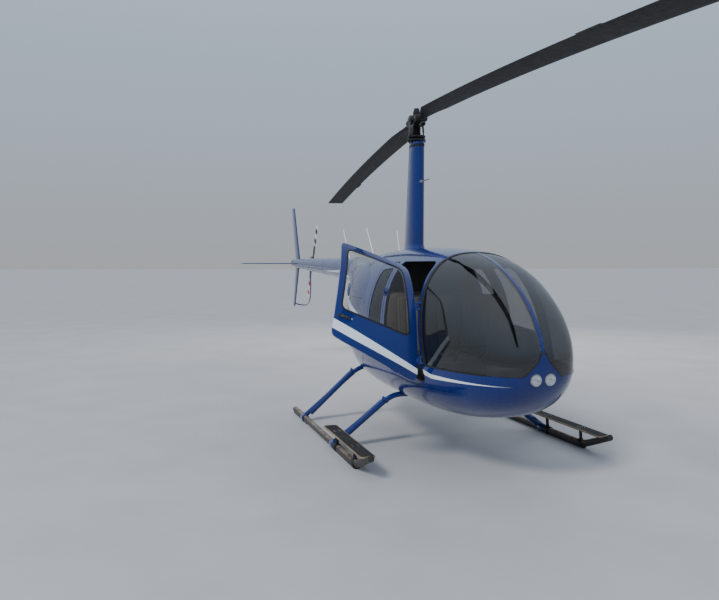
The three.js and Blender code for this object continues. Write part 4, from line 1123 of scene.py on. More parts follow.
# Reflector, bulb, rim and lens of a landing light: material, sides, profile.
LIGHT_PARTS = (
    (CHROME, 48, [(0, -0.034), (0.012, -0.033), (0.026, -0.022), (0.036, -0.004), (0.0375, 0.001),
                  (0.0385, 0.001), (0.0385, -0.040), (0, -0.040)]),
    (LENS, 20, [(0, -0.032), (0.006, -0.030), (0.008, -0.022), (0.006, -0.012), (0, -0.009)]),
    (BARE_METAL, 48, [(0.0375, -0.042), (0.0375, 0.002), (0.040, 0.0045), (0.0445, 0.0035),
                      (0.0456, 0.0), (0.0456, -0.042)]),
    (LENS, 48, [(0, 0.0035), (0.020, 0.0028), (0.0385, 0.0), (0.0385, -0.0015), (0.020, 0.0012),
                (0, 0.0019)]),
)


def build_landing_lights():
    for label, side in SIDES:
        centre = front_points([side * LIGHT_X], [LIGHT_Z])[0]
        parts = [painted(material, lathe("lamp", profile, centre, (0, -1, 0), sides))[0]
                 for material, sides, profile in LIGHT_PARTS]
        finish(join(f"landing_lamp_{label}", parts), None, f"landing_light_{label}")


# Cowl, boom and tail

COWL_OPENING = (-0.335, 0.335, 0.230, 1.180, 0.0, 0.800)
# Cowl panels in side view: y, z, corner radius.
COWL_PANELS = [
    [(-0.130, 0.700, 0.05), (0.620, 0.760, 0.05), (0.620, 1.330, 0.05), (-0.130, 1.330, 0.05)],
    [(0.700, 0.900, 0.05), (1.250, 1.120, 0.05), (1.250, 1.560, 0.05), (0.700, 1.480, 0.05)],
]
PANEL_SEAM_WIDTH, PANEL_SEAM_HEIGHT = 0.0035, 0.0005
PANEL_SCREW_INSET = 0.022
LOUVRES = 6
LOUVRE_Y, LOUVRE_Z = 0.800, 1.360
LOUVRE_PITCH, LOUVRE_RISE = 0.050, 0.006
LOUVRE_WIDTH, LOUVRE_HEIGHT = 0.030, 0.150
LOUVRE_BULGE = 0.012
LOUVRE_SHEET = 0.0012
FILLER_CAP_Y = 0.30
FILLER_CAP_ANGLE = 0.62
FILLER_CAP = [(0, -0.004), (0.047, -0.004), (0.047, 0.002), (0.043, 0.005), (0.036, 0.006),
              (0.034, 0.013), (0.030, 0.016), (0, 0.017)]


def build_cowl(cowl_shell):
    region = block(-FAR, FAR, REAR_HOOP_REAR_Y + PANEL_GAP, FAR, 0, FAR)
    cowl = carve("engine_cowl", cowl_shell, [region], [block(*COWL_OPENING)])
    finish(cowl, (PAINT, BARE_METAL), "engine_cowling")

    seams, screws, vents, caps = [], [], [], []
    for side in (-1, 1):
        for corners in COWL_PANELS:
            seam = divided(rounded_outline(corners, 6), 5)
            seams.append(flank_strip("seam", seam, side, PANEL_SEAM_WIDTH, PANEL_SEAM_HEIGHT))
            y, z = divided(rounded_outline(grow(corners, -PANEL_SCREW_INSET), 3), 4)[::3].T
            for place, normal in zip(flank_points(side, y, z), flank_normal(side, y, z)):
                screws.append(screw(place, normal, 12, 0.0058, 0.0050, 0.0014, 0.0016))
        vents += [louvre(side, LOUVRE_Y + LOUVRE_PITCH * k, LOUVRE_Z + LOUVRE_RISE * k)
                  for k in range(LOUVRES)]
        cap_at = np.array([FILLER_CAP_Y]), np.array([math.pi / 2 - side * FILLER_CAP_ANGLE])
        caps.append(lathe("cap", FILLER_CAP, body_points(*cap_at)[0], body_normals(*cap_at)[0], 40))
    finish(join("cowl_seams", seams), SEAL)
    finish(join("cowl_screws", screws), DULL_METAL)
    finish(join("cowl_louvres", vents), PAINT)
    finish(join("filler_caps", caps), BARE_METAL)


def louvre(side, y, z):
    """Raised scoop of thin sheet, open aft, from its front edge and middle height."""
    rings = []
    for t in np.linspace(0, 1, 9):
        level = z + (t - 0.5) * LOUVRE_HEIGHT
        bulge = math.sqrt(max(1 - (2 * t - 1) ** 4, 0.0)) * LOUVRE_BULGE + 0.0005
        normal = flank_normal(side, np.array([y]), np.array([level]))[0]
        base, rear = flank_points(side, [y, y + LOUVRE_WIDTH], level)
        rings.append([base - normal * 0.001, base + normal * LOUVRE_SHEET,
                      (base + rear) / 2 + normal * bulge * 0.8, rear + normal * bulge,
                      rear + normal * (bulge - LOUVRE_SHEET), rear - normal * 0.001])
    return ring_loft("louvre", rings)


BOOM_SIDES = 72
BOOM_SEAMS = (2.62, 3.36, 4.10, 4.84, 5.50)
SEAM_HALF_WIDTH, SEAM_STEP = 0.0005, 0.0009
RIVET_RADIUS = 0.0042
RIVET_SIDES = 8
RIVET_PITCH = 0.030
RIVET_ROW_OFFSET = 0.012
# Angles of the rivet lines along the boom, and their first, last and step in y.
RIVET_LINES = (-0.35, math.pi + 0.35, -math.pi / 2)
RIVET_RUN = (1.98, 5.75, 0.034)
# Columns: y, radius.
BOOM_COLLAR = ((1.888, 0.1662), (1.889, 0.1697), (1.911, 0.1693), (1.912, 0.1638))


def boom_row(y):
    """Height of the boom's axis and its radius at a station."""
    return (BOOM_START + (BOOM_END - BOOM_START) * (y - BOOM_START[0]) / (BOOM_END[0] - BOOM_START[0]))[1:]


def boom_skin(name, rows):
    """Round skin through rows of y, height of the axis and radius."""
    return ring_loft(name, [[(u, y, z + v) for u, v in circle(radius, BOOM_SIDES)]
                            for y, z, radius in rows])


def rivet(y, angle):
    """Vertices of a domed head at a station and an angle around the boom."""
    z, radius = boom_row(y)
    out = Vector((math.cos(angle), 0, math.sin(angle)))
    side = Vector((-math.sin(angle), 0, math.cos(angle)))
    base = Vector((0, y, z)) + out * (radius - 0.0006)
    rings = [base + side * u + Vector((0, v, 0)) + out * rise
             for scale, rise in ((1.0, 0.0), (0.7, 0.0020))
             for u, v in circle(RIVET_RADIUS * scale, RIVET_SIDES)]
    return [*rings, base + out * 0.0026]


def build_boom():
    steps = [(BOOM_START[0], 0.0)]
    for y in BOOM_SEAMS:
        steps += [(y - SEAM_HALF_WIDTH, 0.0), (y + SEAM_HALF_WIDTH, -SEAM_STEP)]
    steps.append((BOOM_END[0], 0.0))
    rows = []
    for y, step in steps:
        z, radius = boom_row(y)
        rows.append((y, z, radius + step))
    finish(boom_skin("boom_skin", rows), PAINT, "tail_boom")

    places = []
    for y in (1.925, *BOOM_SEAMS, 5.775):
        count = max(int(2 * math.pi * boom_row(y)[1] / RIVET_PITCH), 12)
        offsets = (-RIVET_ROW_OFFSET, RIVET_ROW_OFFSET) if y in BOOM_SEAMS else (0.0,)
        places += [(y + offset, angle) for offset in offsets for angle in turn_steps(count)]
    for angle in RIVET_LINES:
        places += [(y, angle) for y in np.arange(*RIVET_RUN)]
    vertices, faces = [], []
    for y, angle in places:
        first = len(vertices)
        upper, top = first + RIVET_SIDES, first + 2 * RIVET_SIDES
        faces += grid_faces(2, RIVET_SIDES, first)
        faces += [(upper + k, upper + (k + 1) % RIVET_SIDES, top) for k in range(RIVET_SIDES)]
        vertices += rivet(y, angle)
    finish(new_object("boom_rivets", vertices, faces), PAINT)

    collar = [(y, BOOM_START[1], radius) for y, radius in BOOM_COLLAR]
    finish(boom_skin("boom_collar", collar), PAINT_BARE)


def lens_ring(lead, trail, thick, sides=40):
    """Symmetric section from a leading point to a trailing point: rows of along and across."""
    return [(lead + (trail - lead) * along, 5 * thick * foil_half(along, 0.1015) * face)
            for along, face in chord_steps(sides)]


def tapered_rows(root, tip, tip_round=0.05):
    """Rows from a root to a tip row of span, lead, trail and thickness, drawn in over the last stretch."""
    root, tip = np.array(root), np.array(tip)
    rows = []
    for t in np.concatenate([np.linspace(0, 0.9, 8), np.linspace(0.91, 1.0, 14)]):
        span, lead, trail, thick = root + (tip - root) * t
        left = abs(tip[0] - span)
        if left < tip_round:
            share = math.sqrt(max(1 - (1 - left / tip_round) ** 2, 0.0))
            lead += tip_round * 0.9 * (1 - share)
            trail -= tip_round * 0.35 * (1 - share)
            thick *= 0.25 + 0.75 * share
        rows.append((span, lead, trail, thick))
    return rows


TAIL_PLANE_Z = 1.692
# Name, node, whether it stands upright, root and tip rows: span, lead, trail, thickness.
TAIL_SURFACES = (
    ("upper_tail_fin", "upper_fin", True, (1.700, 5.440, 5.800, 0.034), (2.714, 5.889, 6.129, 0.024)),
    ("lower_tail_fin", "lower_fin", True, (1.700, 5.500, 5.800, 0.034), (0.896, 5.881, 6.059, 0.024)),
    ("tail_plane", "stabilizer", False, (-0.020, 5.500, 5.790, 0.028), (-1.019, 5.560, 5.770, 0.022)),
)
GUARD_PATH = [(0.040, 4.880, 1.620), (0.120, 5.150, 1.330), (0.190, 5.520, 1.040), (0.205, 5.850, 0.930),
              (0.120, 6.040, 0.925), (0.012, 6.020, 0.960)]
GEARBOX_CASE = [(0, 0.0), (0.064, 0.0), (0.066, 0.006), (0.066, 0.030), (0.060, 0.036), (0.060, 0.090),
                (0.064, 0.096), (0.064, 0.108), (0.052, 0.150), (0.050, 0.184), (0.042, 0.189), (0, 0.189)]
GEARBOX_OUTPUT = [(0, 0.0), (0.052, 0.0), (0.050, 0.060), (0.044, 0.070), (0.044, 0.140),
                  (0.050, 0.146), (0.050, 0.158), (0.036, 0.166), (0.034, 0.249), (0.0176, 0.249),
                  (0.0176, 0.20), (0, 0.20)]
FLANGE_X = 0.158
FLANGE_BOLT_RADIUS = 0.043
TAIL_LAMP = [(0, 0.0), (0.013, 0.0), (0.013, 0.010), (0.011, 0.018), (0.006, 0.023), (0, 0.024)]
# Foot and top of each antenna: y, z.
ANTENNAS = {
    "front": ((0.460, 1.740), (0.562, 2.050)),
    "middle": ((1.300, 1.700), (1.658, 2.137)),
    "rear": ((2.370, 1.700), (2.690, 2.157)),
}


def build_tail():
    for name, node, upright, root, tip in TAIL_SURFACES:
        rings = []
        for span, lead, trail, thick in tapered_rows(root, tip):
            rings.append([(across, along, span) if upright else (span, along, TAIL_PLANE_Z + across)
                          for along, across in lens_ring(lead, trail, thick)])
        finish(ring_loft(name, rings), PAINT, node)

    guard = tube("tail_skid_tube", smooth_path(GUARD_PATH, 12), 0.011, 16)
    finish(guard, PAINT_BARE, "tail_rotor_guard")

    parts = [
        lathe("case", GEARBOX_CASE, (0, 5.801, 1.7015), (0, 1, 0.045), 48),
        lathe("output", GEARBOX_OUTPUT, (0, TAIL_ROTOR.y, TAIL_ROTOR.z), X_AXIS, 48),
    ]
    for a in turn_steps(8) + 0.2:
        place = (FLANGE_X, TAIL_ROTOR.y + FLANGE_BOLT_RADIUS * math.cos(a),
                 TAIL_ROTOR.z + FLANGE_BOLT_RADIUS * math.sin(a))
        parts.append(nut(place, X_AXIS, 0.0048, 0.004, 0.0025, 0.005, sides=8))
    finish(join("tail_gearbox_case", parts), BLACK_METAL, "tail_gearbox")
    finish(lathe("tail_lamp", TAIL_LAMP, (0, 6.045, 2.46), (0, 1, 0.15), 24), LENS)

    for label, (foot, top) in ANTENNAS.items():
        path = np.linspace((0, *foot), (0, *top), 12)
        oval = [(u * 0.62, v * 1.35) for u, v in circle(0.015, 20)]
        rod = sweep("rod", path, circle(0.0078, 16), Y_AXIS, scales=np.linspace(1.0, 0.72, 12))
        base = sweep("base", path[:5], oval, Y_AXIS, scales=(1.15, 1.0, 0.85, 0.62, 0.45))
        finish(join(f"antenna_{label}_rod", [rod, base]), WHITE_PAINT, f"antenna_{label}")


# Mast and rotors

def fairing_ring(z, growth=0.0, nose=0.0, stretch=0.0, thinner=0.0):
    """Section of the mast cover at a height, grown sideways, ahead and along its chord."""
    t = (z - FAIRING_FOOT[0]) / (FAIRING_HEAD[0] - FAIRING_FOOT[0])
    chord = FAIRING_FOOT[1] + (FAIRING_HEAD[1] - FAIRING_FOOT[1]) * t
    width = FAIRING_FOOT[2] + (FAIRING_HEAD[2] - FAIRING_FOOT[2]) * t - thinner
    ring = []
    for along, face in chord_steps(72):
        thick = 4.94 * (math.sqrt(along) * 0.45 - along * 0.23 - along * along * 0.2)
        ring.append(((width + growth) * thick * face, FAIRING_FRONT_Y - nose + along * (chord + stretch), z))
    return ring


PROBE_Z = 2.52
SWASH_RING = [(0.0275, 2.9308), (0.060, 2.9308), (0.064, 2.936), (0.064, 2.941), (0.096, 2.944),
              (0.096, 2.960), (0.090, 2.966), (0.060, 2.9695), (0.0275, 2.9695)]
SWASH_BOLT_RADIUS, SWASH_BOLT_Z = 0.078, 2.9635
SWASH_LUG_X = 0.088
BAND_LOW_Z, BAND_HIGH_Z = 2.880, 2.906
FLARE_HEIGHT, FLARE_REACH = 0.06, 0.020
PROBE_TIP = [(0.0035, 0.0), (0.0075, 0.0), (0.0075, 0.045), (0.0065, 0.05), (0.0035, 0.05)]
PROBE_FLANGE = [(0, 0.0), (0.016, 0.0), (0.014, 0.008), (0.008, 0.012), (0, 0.012)]


def build_mast():
    foot, head = FAIRING_FOOT[0], FAIRING_HEAD[0]
    rings = []
    for z in (foot, *np.linspace(ROOF_Z, ROOF_Z + FLARE_HEIGHT, 8),
              *np.linspace(ROOF_Z + 0.1, head - 0.012, 10), head - 0.006, head - 0.001):
        flare = FLARE_REACH * max(1 - max(z - ROOF_Z, 0) / FLARE_HEIGHT, 0.0) ** 2
        thinner = 0.003 if z > head - 0.007 else 0.0
        rings.append(fairing_ring(z, flare, flare, 1.2 * flare, thinner))
    finish(ring_loft("mast_cover", rings), PAINT_BARE, "mast_fairing")

    band = [fairing_ring(z, growth, growth, 2 * growth) for z, growth in (
        (BAND_LOW_Z, -0.001), (BAND_LOW_Z + 0.0005, 0.0022), (BAND_HIGH_Z - 0.0005, 0.0022),
        (BAND_HIGH_Z, -0.001))]
    finish(ring_loft("mast_cover_band", band), BLACK_METAL)

    def probe_at(ahead):
        return 0, FAIRING_FRONT_Y - ahead, PROBE_Z

    probe_path = bent_path([probe_at(y) for y in (-0.010, 0.060, 0.085, 0.150)], 0.01)
    probe = tube("probe", probe_path, 0.0065, 16)
    tip = lathe("tip", PROBE_TIP, probe_at(0.196), Y_AXIS, 20)
    flange = lathe("flange", PROBE_FLANGE, probe_at(-0.002), (0, -1, 0), 24)
    finish(join("pitot_probe", [probe, tip, flange]), BARE_METAL)

    swash = [lathe("ring", SWASH_RING, sides=64)]
    for a in turn_steps(6) + 0.3:
        place = (SWASH_BOLT_RADIUS * math.cos(a), SWASH_BOLT_RADIUS * math.sin(a), SWASH_BOLT_Z)
        swash.append(screw(place, Z_AXIS, 6, 0.006, 0.006, 0.004, 0.0045))
    for x in (-SWASH_LUG_X, SWASH_LUG_X):
        swash.append(bevelled_box("lug", (x - 0.010, -0.012, 2.936), (x + 0.010, 0.012, 2.958), 0.003))
        swash.append(tube("rod", [(x, 0, 2.944), (math.copysign(0.070, x), 0.0, 2.915)], 0.006, 12))
    finish(join("swash_ring", swash), BLACK_METAL, "swashplate")


def blade_z(radius):
    root = BLADE_STATIONS[0, 0]
    share = max(radius - root, 0) / (ROTOR_RADIUS - root)
    return HUB_Z - BLADE_DROOP * (0.55 * share + 0.45 * share * share)


def airfoil(sides=44):
    """Closed section of unit chord about the quarter chord: rows of along and up."""
    return [(along - 0.25, 0.10 * along * (1 - along) + 2.5 * foil_half(along, 0.1036) * face)
            for along, face in chord_steps(sides)]


def set_values(piece, name, values):
    attribute = piece.data.attributes.new(name, "FLOAT", "POINT")
    attribute.data.foreach_set("value", np.array(values, np.float32))


BLADE_RADII = (*np.linspace(0.187, 0.76, 16), *np.linspace(0.86, 4.98, 40), 5.0, 5.012, 5.022, 5.028)
BLADE_WEAR_START = 0.7
# Trim tab on the trailing edge: its section as x and rise, and its span.
TRIM_TAB = ((0.180, 0.0012), (0.180, -0.0012), (0.206, -0.0022), (0.206, -0.0006))
TRIM_TAB_SPAN = (3.55, 3.80)
# Bolts through the blade's root. Columns: radius, lift.
ROOT_BOLTS = ((0.56, 0.018), (0.62, 0.016), (0.68, 0.014))
ROOT_BOLT_X = (-0.020, 0.045)


def build_main_blade(label, turn):
    rings, edge = [], []
    section = airfoil()
    oval = [(-0.46 * math.cos(a) + 0.2024, 0.5 * math.sin(a)) for a in turn_steps(len(section))]
    stations, chords, depths = BLADE_STATIONS.T
    for radius in BLADE_RADII:
        chord = np.interp(radius, stations, chords)
        thick = np.interp(radius, stations, depths)
        thick *= np.interp(radius, [5.0, 5.028], [1.0, 0.55])
        round_share = np.interp(radius, [0.33, 0.60], [1.0, 0.0])
        rows = np.array(section) * (1 - round_share) + np.array(oval) * round_share
        rings.append([(along * chord, radius, blade_z(radius) + up * thick) for along, up in rows])
        worn = radius > BLADE_WEAR_START
        edge += [np.interp(along, [-0.25, -0.21, -0.17], [1, 0.6, 0.0]) if worn else 0.0
                 for along, _ in section]
    skin = ring_loft("blade", rings)
    set_values(skin, "edge", edge)
    tab = ring_loft("tab", [[(x, radius, blade_z(radius) + rise) for x, rise in TRIM_TAB]
                            for radius in np.linspace(*TRIM_TAB_SPAN, 8)])
    bolts = [nut((x, radius, blade_z(radius) + lift), Z_AXIS, 0.011, 0.003, 0.007, 0.006, -0.004)
             for radius, lift in ROOT_BOLTS for x in ROOT_BOLT_X]
    blade = join(f"rotor_blade_{label}", painted(BLADE, skin) + painted(DULL_METAL, *bolts)
                 + painted(BLADE, tab))
    blade.data.transform(Matrix.Rotation(turn, 4, "Z"))
    finish(blade, None, f"main_blade_{label}", "main_rotor")


SHAFT = [(0, 2.856), (0.0258, 2.856), (0.0258, 3.10), (0.0235, 3.104), (0.0235, 3.24), (0, 3.24)]
TURNING_RING = [(0.024, 2.9765), (0.086, 2.9765), (0.092, 2.980), (0.092, 2.996), (0.088, 3.001),
                (0.050, 3.002), (0.040, 3.012), (0.024, 3.014)]
SHAFT_CAP = [(0, 3.222), (0.037, 3.222), (0.038, 3.228), (0.036, 3.246), (0.027, 3.268),
             (0.0262, 3.279), (0.0255, 3.2798), (0, 3.2798)]
HUB_TOP = [(0, 0.030), (0.050, 0.030), (0.047, 0.048), (0.036, 0.070), (0, 0.070)]
ROD_END = mirrored([(0, 0.0065), (0.0104, 0.0065), (0.013, 0.0039)])
CHEEK_INNER_X, CHEEK_OUTER_X = 0.060, 0.076
CHEEK = [(-0.075, HUB_Z - 0.050, 0.02), (0.075, HUB_Z - 0.050, 0.02),
         (0.050, HUB_Z + 0.052, 0.03), (-0.050, HUB_Z + 0.052, 0.03)]
PITCH_LINK_X = 0.084
TEETER_BOLT_Z = HUB_Z + 0.008
CONING_BOLT_Y = 0.152


def boot_profile():
    """Ribbed rubber boot around the shaft."""
    rows = [(0.024, 3.0145)]
    for k in range(5):
        rows += [(0.036, 3.016 + 0.018 * k), (0.047, 3.024 + 0.018 * k)]
    return rows + [(0.036, 3.106), (0.030, 3.112), (0.024, 3.114)]


def build_main_hub():
    light = [lathe("shaft", SHAFT, sides=40)]
    dark = [
        lathe("ring", TURNING_RING, sides=64),
        bevelled_box("bar", (-0.060, -0.184, HUB_Z - 0.034), (0.060, 0.184, HUB_Z + 0.034), 0.012, 4),
        lathe("boot", boot_profile(), sides=48),
        lathe("cap", SHAFT_CAP, sides=48),
        lathe("hub_top", HUB_TOP, (0, 0, HUB_Z), sides=48),
    ]
    for side in (-1, 1):
        out = (side, 0, 0)
        cheek = side_prism(CHEEK, *sorted((side * CHEEK_INNER_X, side * CHEEK_OUTER_X)))
        cheek.name = "cheek"
        x = side * PITCH_LINK_X
        low, high = Vector((x, side * 0.020, 2.992)), Vector((x, side * 0.060, HUB_Z + 0.004))
        middle = low.lerp(high, 0.5)
        horn = [(x, side * 0.060, HUB_Z + 0.002), (side * 0.066, side * 0.078, HUB_Z),
                (side * 0.040, side * 0.095, HUB_Z)]
        dark += [
            bevel_sharp(cheek, 0.003),
            lathe("end", ROD_END, low, X_AXIS, 20),
            lathe("end", ROD_END, high, X_AXIS, 20),
            sweep("horn", horn, rounded_rectangle(0.022, 0.026, 0.007)),
        ]
        light += [
            nut((side * 0.078, 0, TEETER_BOLT_Z), out, 0.022, 0.010, 0.018, 0.013),
            disc("washer", 0.028, 0, 0.003, (side * 0.0755, 0, TEETER_BOLT_Z), out),
            nut((side * 0.058, -CONING_BOLT_Y, HUB_Z), out, 0.015, 0.008, 0.011, 0.011),
            nut((side * 0.058, CONING_BOLT_Y, HUB_Z), out, 0.015, 0.008, 0.011, 0.011),
            tube("link", [low, middle, high], 0.0075, 16, X_AXIS),
            tube("link", [low.lerp(high, 0.30), middle, low.lerp(high, 0.70)], 0.0105, 6, X_AXIS),
        ]
    head = join("rotor_head", painted(BLACK_METAL, *dark) + painted(DULL_METAL, *light))
    head.data.transform(Matrix.Rotation(-ROTOR_AZIMUTH, 4, "Z"))
    finish(head, None, "main_rotor_hub", "main_rotor")


TAIL_SHAFT = [(0, -0.142), (0.0168, -0.142), (0.0168, 0.030), (0.012, 0.036), (0, 0.036)]
PITCH_PLATE = mirrored([(0, 0.006), (0.048, 0.006), (0.052, 0.003)])
PITCH_PLATE_X = -0.046
# Columns: radius, chord, thickness.
TAIL_BLADE_STATIONS = np.array([
    (0.1183, 0.060, 0.024),
    (0.22, 0.128, 0.017),
    (TAIL_ROTOR_RADIUS, 0.128, 0.014),
])
TAIL_BLADE_RADII = (0.1185, 0.150, 0.185, 0.220, *np.linspace(0.24, 0.72, 26), 0.728, 0.733, 0.7365)
TAIL_BLADE_SIDES = 36


def build_tail_rotor():
    place = Matrix.Translation(TAIL_ROTOR) @ Matrix.Rotation(TAIL_ROTOR_ANGLE, 4, "X")
    hub = [
        lathe("shaft", TAIL_SHAFT, axis=X_AXIS),
        lathe("plate", PITCH_PLATE, (PITCH_PLATE_X, 0, 0), X_AXIS, 48),
        bevelled_box("yoke", (-0.024, -0.028, -0.117), (0.024, 0.028, 0.117), 0.007, 3),
        disc("bolt", 0.010, -0.040, 0.040, axis=Y_AXIS, sides=24),
    ]
    for end in (-1, 1):
        link = [(PITCH_PLATE_X, end * 0.040, 0), (-0.040, end * 0.046, end * 0.060),
                (-0.026, end * 0.040, end * 0.105)]
        hub.append(disc("pin", 0.008, -0.030, 0.030, (0, 0, end * 0.092), X_AXIS, 12))
        hub.append(tube("link", link, 0.0045, 12, X_AXIS))
    head = moved(join("tail_rotor_head", hub), place)
    finish(head, DULL_METAL, "tail_rotor_hub", "tail_rotor")

    stations, chords, depths = TAIL_BLADE_STATIONS.T
    for label, up, look in (("upper", 1, BANDS_DARK), ("lower", -1, BANDS_RED)):
        rings, spans = [], []
        for radius in TAIL_BLADE_RADII:
            chord = np.interp(radius, stations, chords)
            chord *= np.interp(radius, [0.722, 0.7365], [1.0, 0.93])
            thick = np.interp(radius, stations, depths)
            rings.append([(rise * thick, up * (0.05 - along) * chord, up * radius)
                          for along, rise in airfoil(TAIL_BLADE_SIDES)])
            spans += [radius] * TAIL_BLADE_SIDES
        blade = ring_loft(f"tail_rotor_blade_{label}", rings)
        set_values(blade, "span", spans)
        finish(moved(blade, place), look, f"tail_blade_{label}", "tail_rotor")


# Landing gear

SHOE_Z = 0.013
SHOE_RUNS = ((SKID_BEND_Y + 0.040, SKID_BEND_Y + 0.640), (SKID_AFT_Y - 0.640, SKID_AFT_Y - 0.020))
# Layers of a step's board and of its grip tape: height, inset.
BOARD_LAYERS = ((STEP_Z, 0.004), (STEP_Z + 0.0015, 0.0), (STEP_Z + 0.0110, 0.0), (STEP_Z + 0.0125, 0.0015))
GRIP_LAYERS = ((STEP_Z + 0.0120, 0.012), (STEP_Z + 0.0138, 0.012))
GRIP_HALF_WIDTH = 0.067
STEP_POST = [(0, 0.0), (0.022, 0.0), (0.020, 0.008), (0.0145, 0.014), (0.0145, 0.080),
             (0.020, 0.088), (0.036, 0.094), (0.036, 0.098), (0, 0.098)]
STEP_CLAMP = mirrored([(0.0312, 0.040), (0.0375, 0.040), (0.0385, 0.037)])
TUBE_SADDLE = mirrored([(0.0312, 0.050), (0.0385, 0.050), (0.0400, 0.047)])
TUBE_BOOT = [(0.0255, 0.0), (0.040, 0.0), (0.036, 0.018), (0.029, 0.030), (0.0255, 0.032)]


def flat_plate(name, x, half_width, layers, radius):
    """Plate along a skid from layers of height and inset."""
    rings = []
    for z, inset in layers:
        corners = rectangle(x - half_width + inset, x + half_width - inset,
                            STEP_FRONT_Y + inset, STEP_REAR_Y - inset, radius)
        rings.append([(u, v, z) for u, v in rounded_outline(corners, 6)])
    return ring_loft(name, rings)


def build_skid(label, side):
    x = side * SKID_X
    path = bent_path([(x, SKID_AFT_Y, SKID_Z), (x, SKID_BEND_Y, SKID_Z), (x, *SKID_TIP)], 0.110, 14)
    path = np.insert(path, 1, path[0] + (0, -0.012, 0), 0)
    scales = [0.86] + [1.0] * (len(path) - 2) + [0.86]
    parts = [sweep("runner", path, circle(SKID_RADIUS, 36), X_AXIS, scales=scales)]
    shoe = rounded_rectangle(0.044, 0.0258, 0.005)
    for y0, y1 in SHOE_RUNS:
        sole = [(x, y, SHOE_Z) for y in (y0, y0 + 0.006, (y0 + y1) / 2, y1 - 0.006, y1)]
        parts.append(sweep("shoe", sole, shoe, scales=(0.9, 1.0, 1.0, 1.0, 0.9)))
        parts += [screw((x + side * 0.0215, y, SHOE_Z), (side, 0, 0), 6, 0.007, 0.007, 0.004, 0.005)
                  for y in np.linspace(y0 + 0.05, y1 - 0.05, 4)]
    finish(join(f"skid_runner_{label}", parts), SKID_PAINT, f"skid_{label}")


def build_step(label, side):
    x = side * SKID_X
    parts = painted(STEP_EDGE, flat_plate("board", x, STEP_WIDTH / 2, BOARD_LAYERS, 0.028))
    parts += painted(GRIP_TAPE, flat_plate("grip", x, GRIP_HALF_WIDTH, GRIP_LAYERS, 0.02))
    for y in STEP_POSTS:
        post = lathe("post", STEP_POST, (x, y + 0.008, 0.0695), (0, 0.12, 1), 28)
        clamp = lathe("clamp", STEP_CLAMP, (x, y, SKID_Z), Y_AXIS, 36)
        screws = [screw((x + dx, y + dy, STEP_Z + 0.0135), Z_AXIS, 10, 0.0055, 0.0045, 0.002, 0.0025)
                  for dx in (-0.024, 0.024) for dy in (-0.010, 0.026)]
        parts += painted(BLACK_METAL, post, clamp) + painted(BARE_METAL, *screws)
    finish(join(f"step_board_{label}", parts), None, f"step_{label}")


def build_cross_tube(node, y, bend_x, bend_z):
    foot_z = SKID_Z + 0.02
    points = [(-SKID_X, y, foot_z), (-bend_x, y, bend_z), (bend_x, y, bend_z), (SKID_X, y, foot_z)]
    parts = [tube("core", bent_path(points, 0.090, 12), TUBE_RADIUS, 32, Y_AXIS)]
    for side in (-1, 1):
        inner = np.array([side * (bend_x + 0.095), y, bend_z - 0.060])
        outer = np.array([side * (SKID_X - 0.060), y, SKID_Z + 0.044])
        along = unit(outer - inner)
        across = np.cross(along, Y_AXIS)
        rings = []
        for t in (0.0, 0.02, 0.05, 0.3, 0.6, 0.95, 0.98, 1.0):
            swell = 0.90 + 0.10 * min(min(t, 1 - t) / 0.04, 1.0)
            rings.append([inner + (outer - inner) * t + (0, u - 0.033, 0) + across * (v * swell)
                          for u, v in lens_ring(0.0, 0.114, 0.058, 44)])
        parts += [
            ring_loft("sleeve", rings),
            lathe("saddle", TUBE_SADDLE, (side * SKID_X, y, SKID_Z), Y_AXIS, 40),
            lathe("boot", TUBE_BOOT, inner - along * 0.035, along),
        ]
        parts += [screw((side * SKID_X, y + dy, SKID_Z + 0.0395), Z_AXIS, 6, 0.0075, 0.0075, 0.005, 0.006)
                  for dy in (-0.032, 0.032)]
    finish(join(f"{node}_faired", parts), PAINT_BARE, node)


def build_gear():
    for label, side in SIDES:
        build_skid(label, side)
        build_step(label, side)
    for node, row in CROSS_TUBES.items():
        build_cross_tube(node, *row)


# Cabin inside and engine bay

SEAT_LOW, SEAT_HIGH = 0.8003, 0.8853
BACK_THICK = 0.083
BACK_TOP_Z = 1.400
BELT_Z = 0.893
# Columns: name, x, front and rear edge, how far the back leans, width, channels, belt places.
SEATS = (
    ("front_left", 0.250, -1.590, -1.115, 0.110, 0.440, 4, (0.250,)),
    ("front_right", -0.250, -1.590, -1.115, 0.110, 0.440, 4, (-0.250,)),
    ("rear", 0.0, -0.770, -0.360, 0.070, 0.940, 10, (-0.25, 0.25)),
)
PAD_CROWN = 0.012
CHANNEL_DEPTH = 0.0065
CHANNEL_WIDTH = 0.0075
# Path of a lap belt: outward from its place, ahead of the cushion's rear edge, rise.
BELT_PATH = (
    (0.228, 0.020, -0.058), (0.205, 0.060, -0.006), (0.130, 0.150, 0.002),
    (0.030, 0.215, 0.004), (-0.090, 0.180, 0.002), (-0.190, 0.075, -0.004),
)
BUCKLE_OUT, BUCKLE_AHEAD, BUCKLE_RISE = 0.03, 0.213, 0.004
BUCKLE_TURN = 0.3


def eased(t):
    """Steps that crowd towards both ends."""
    return t * (1.5 - 0.5 * t * t)


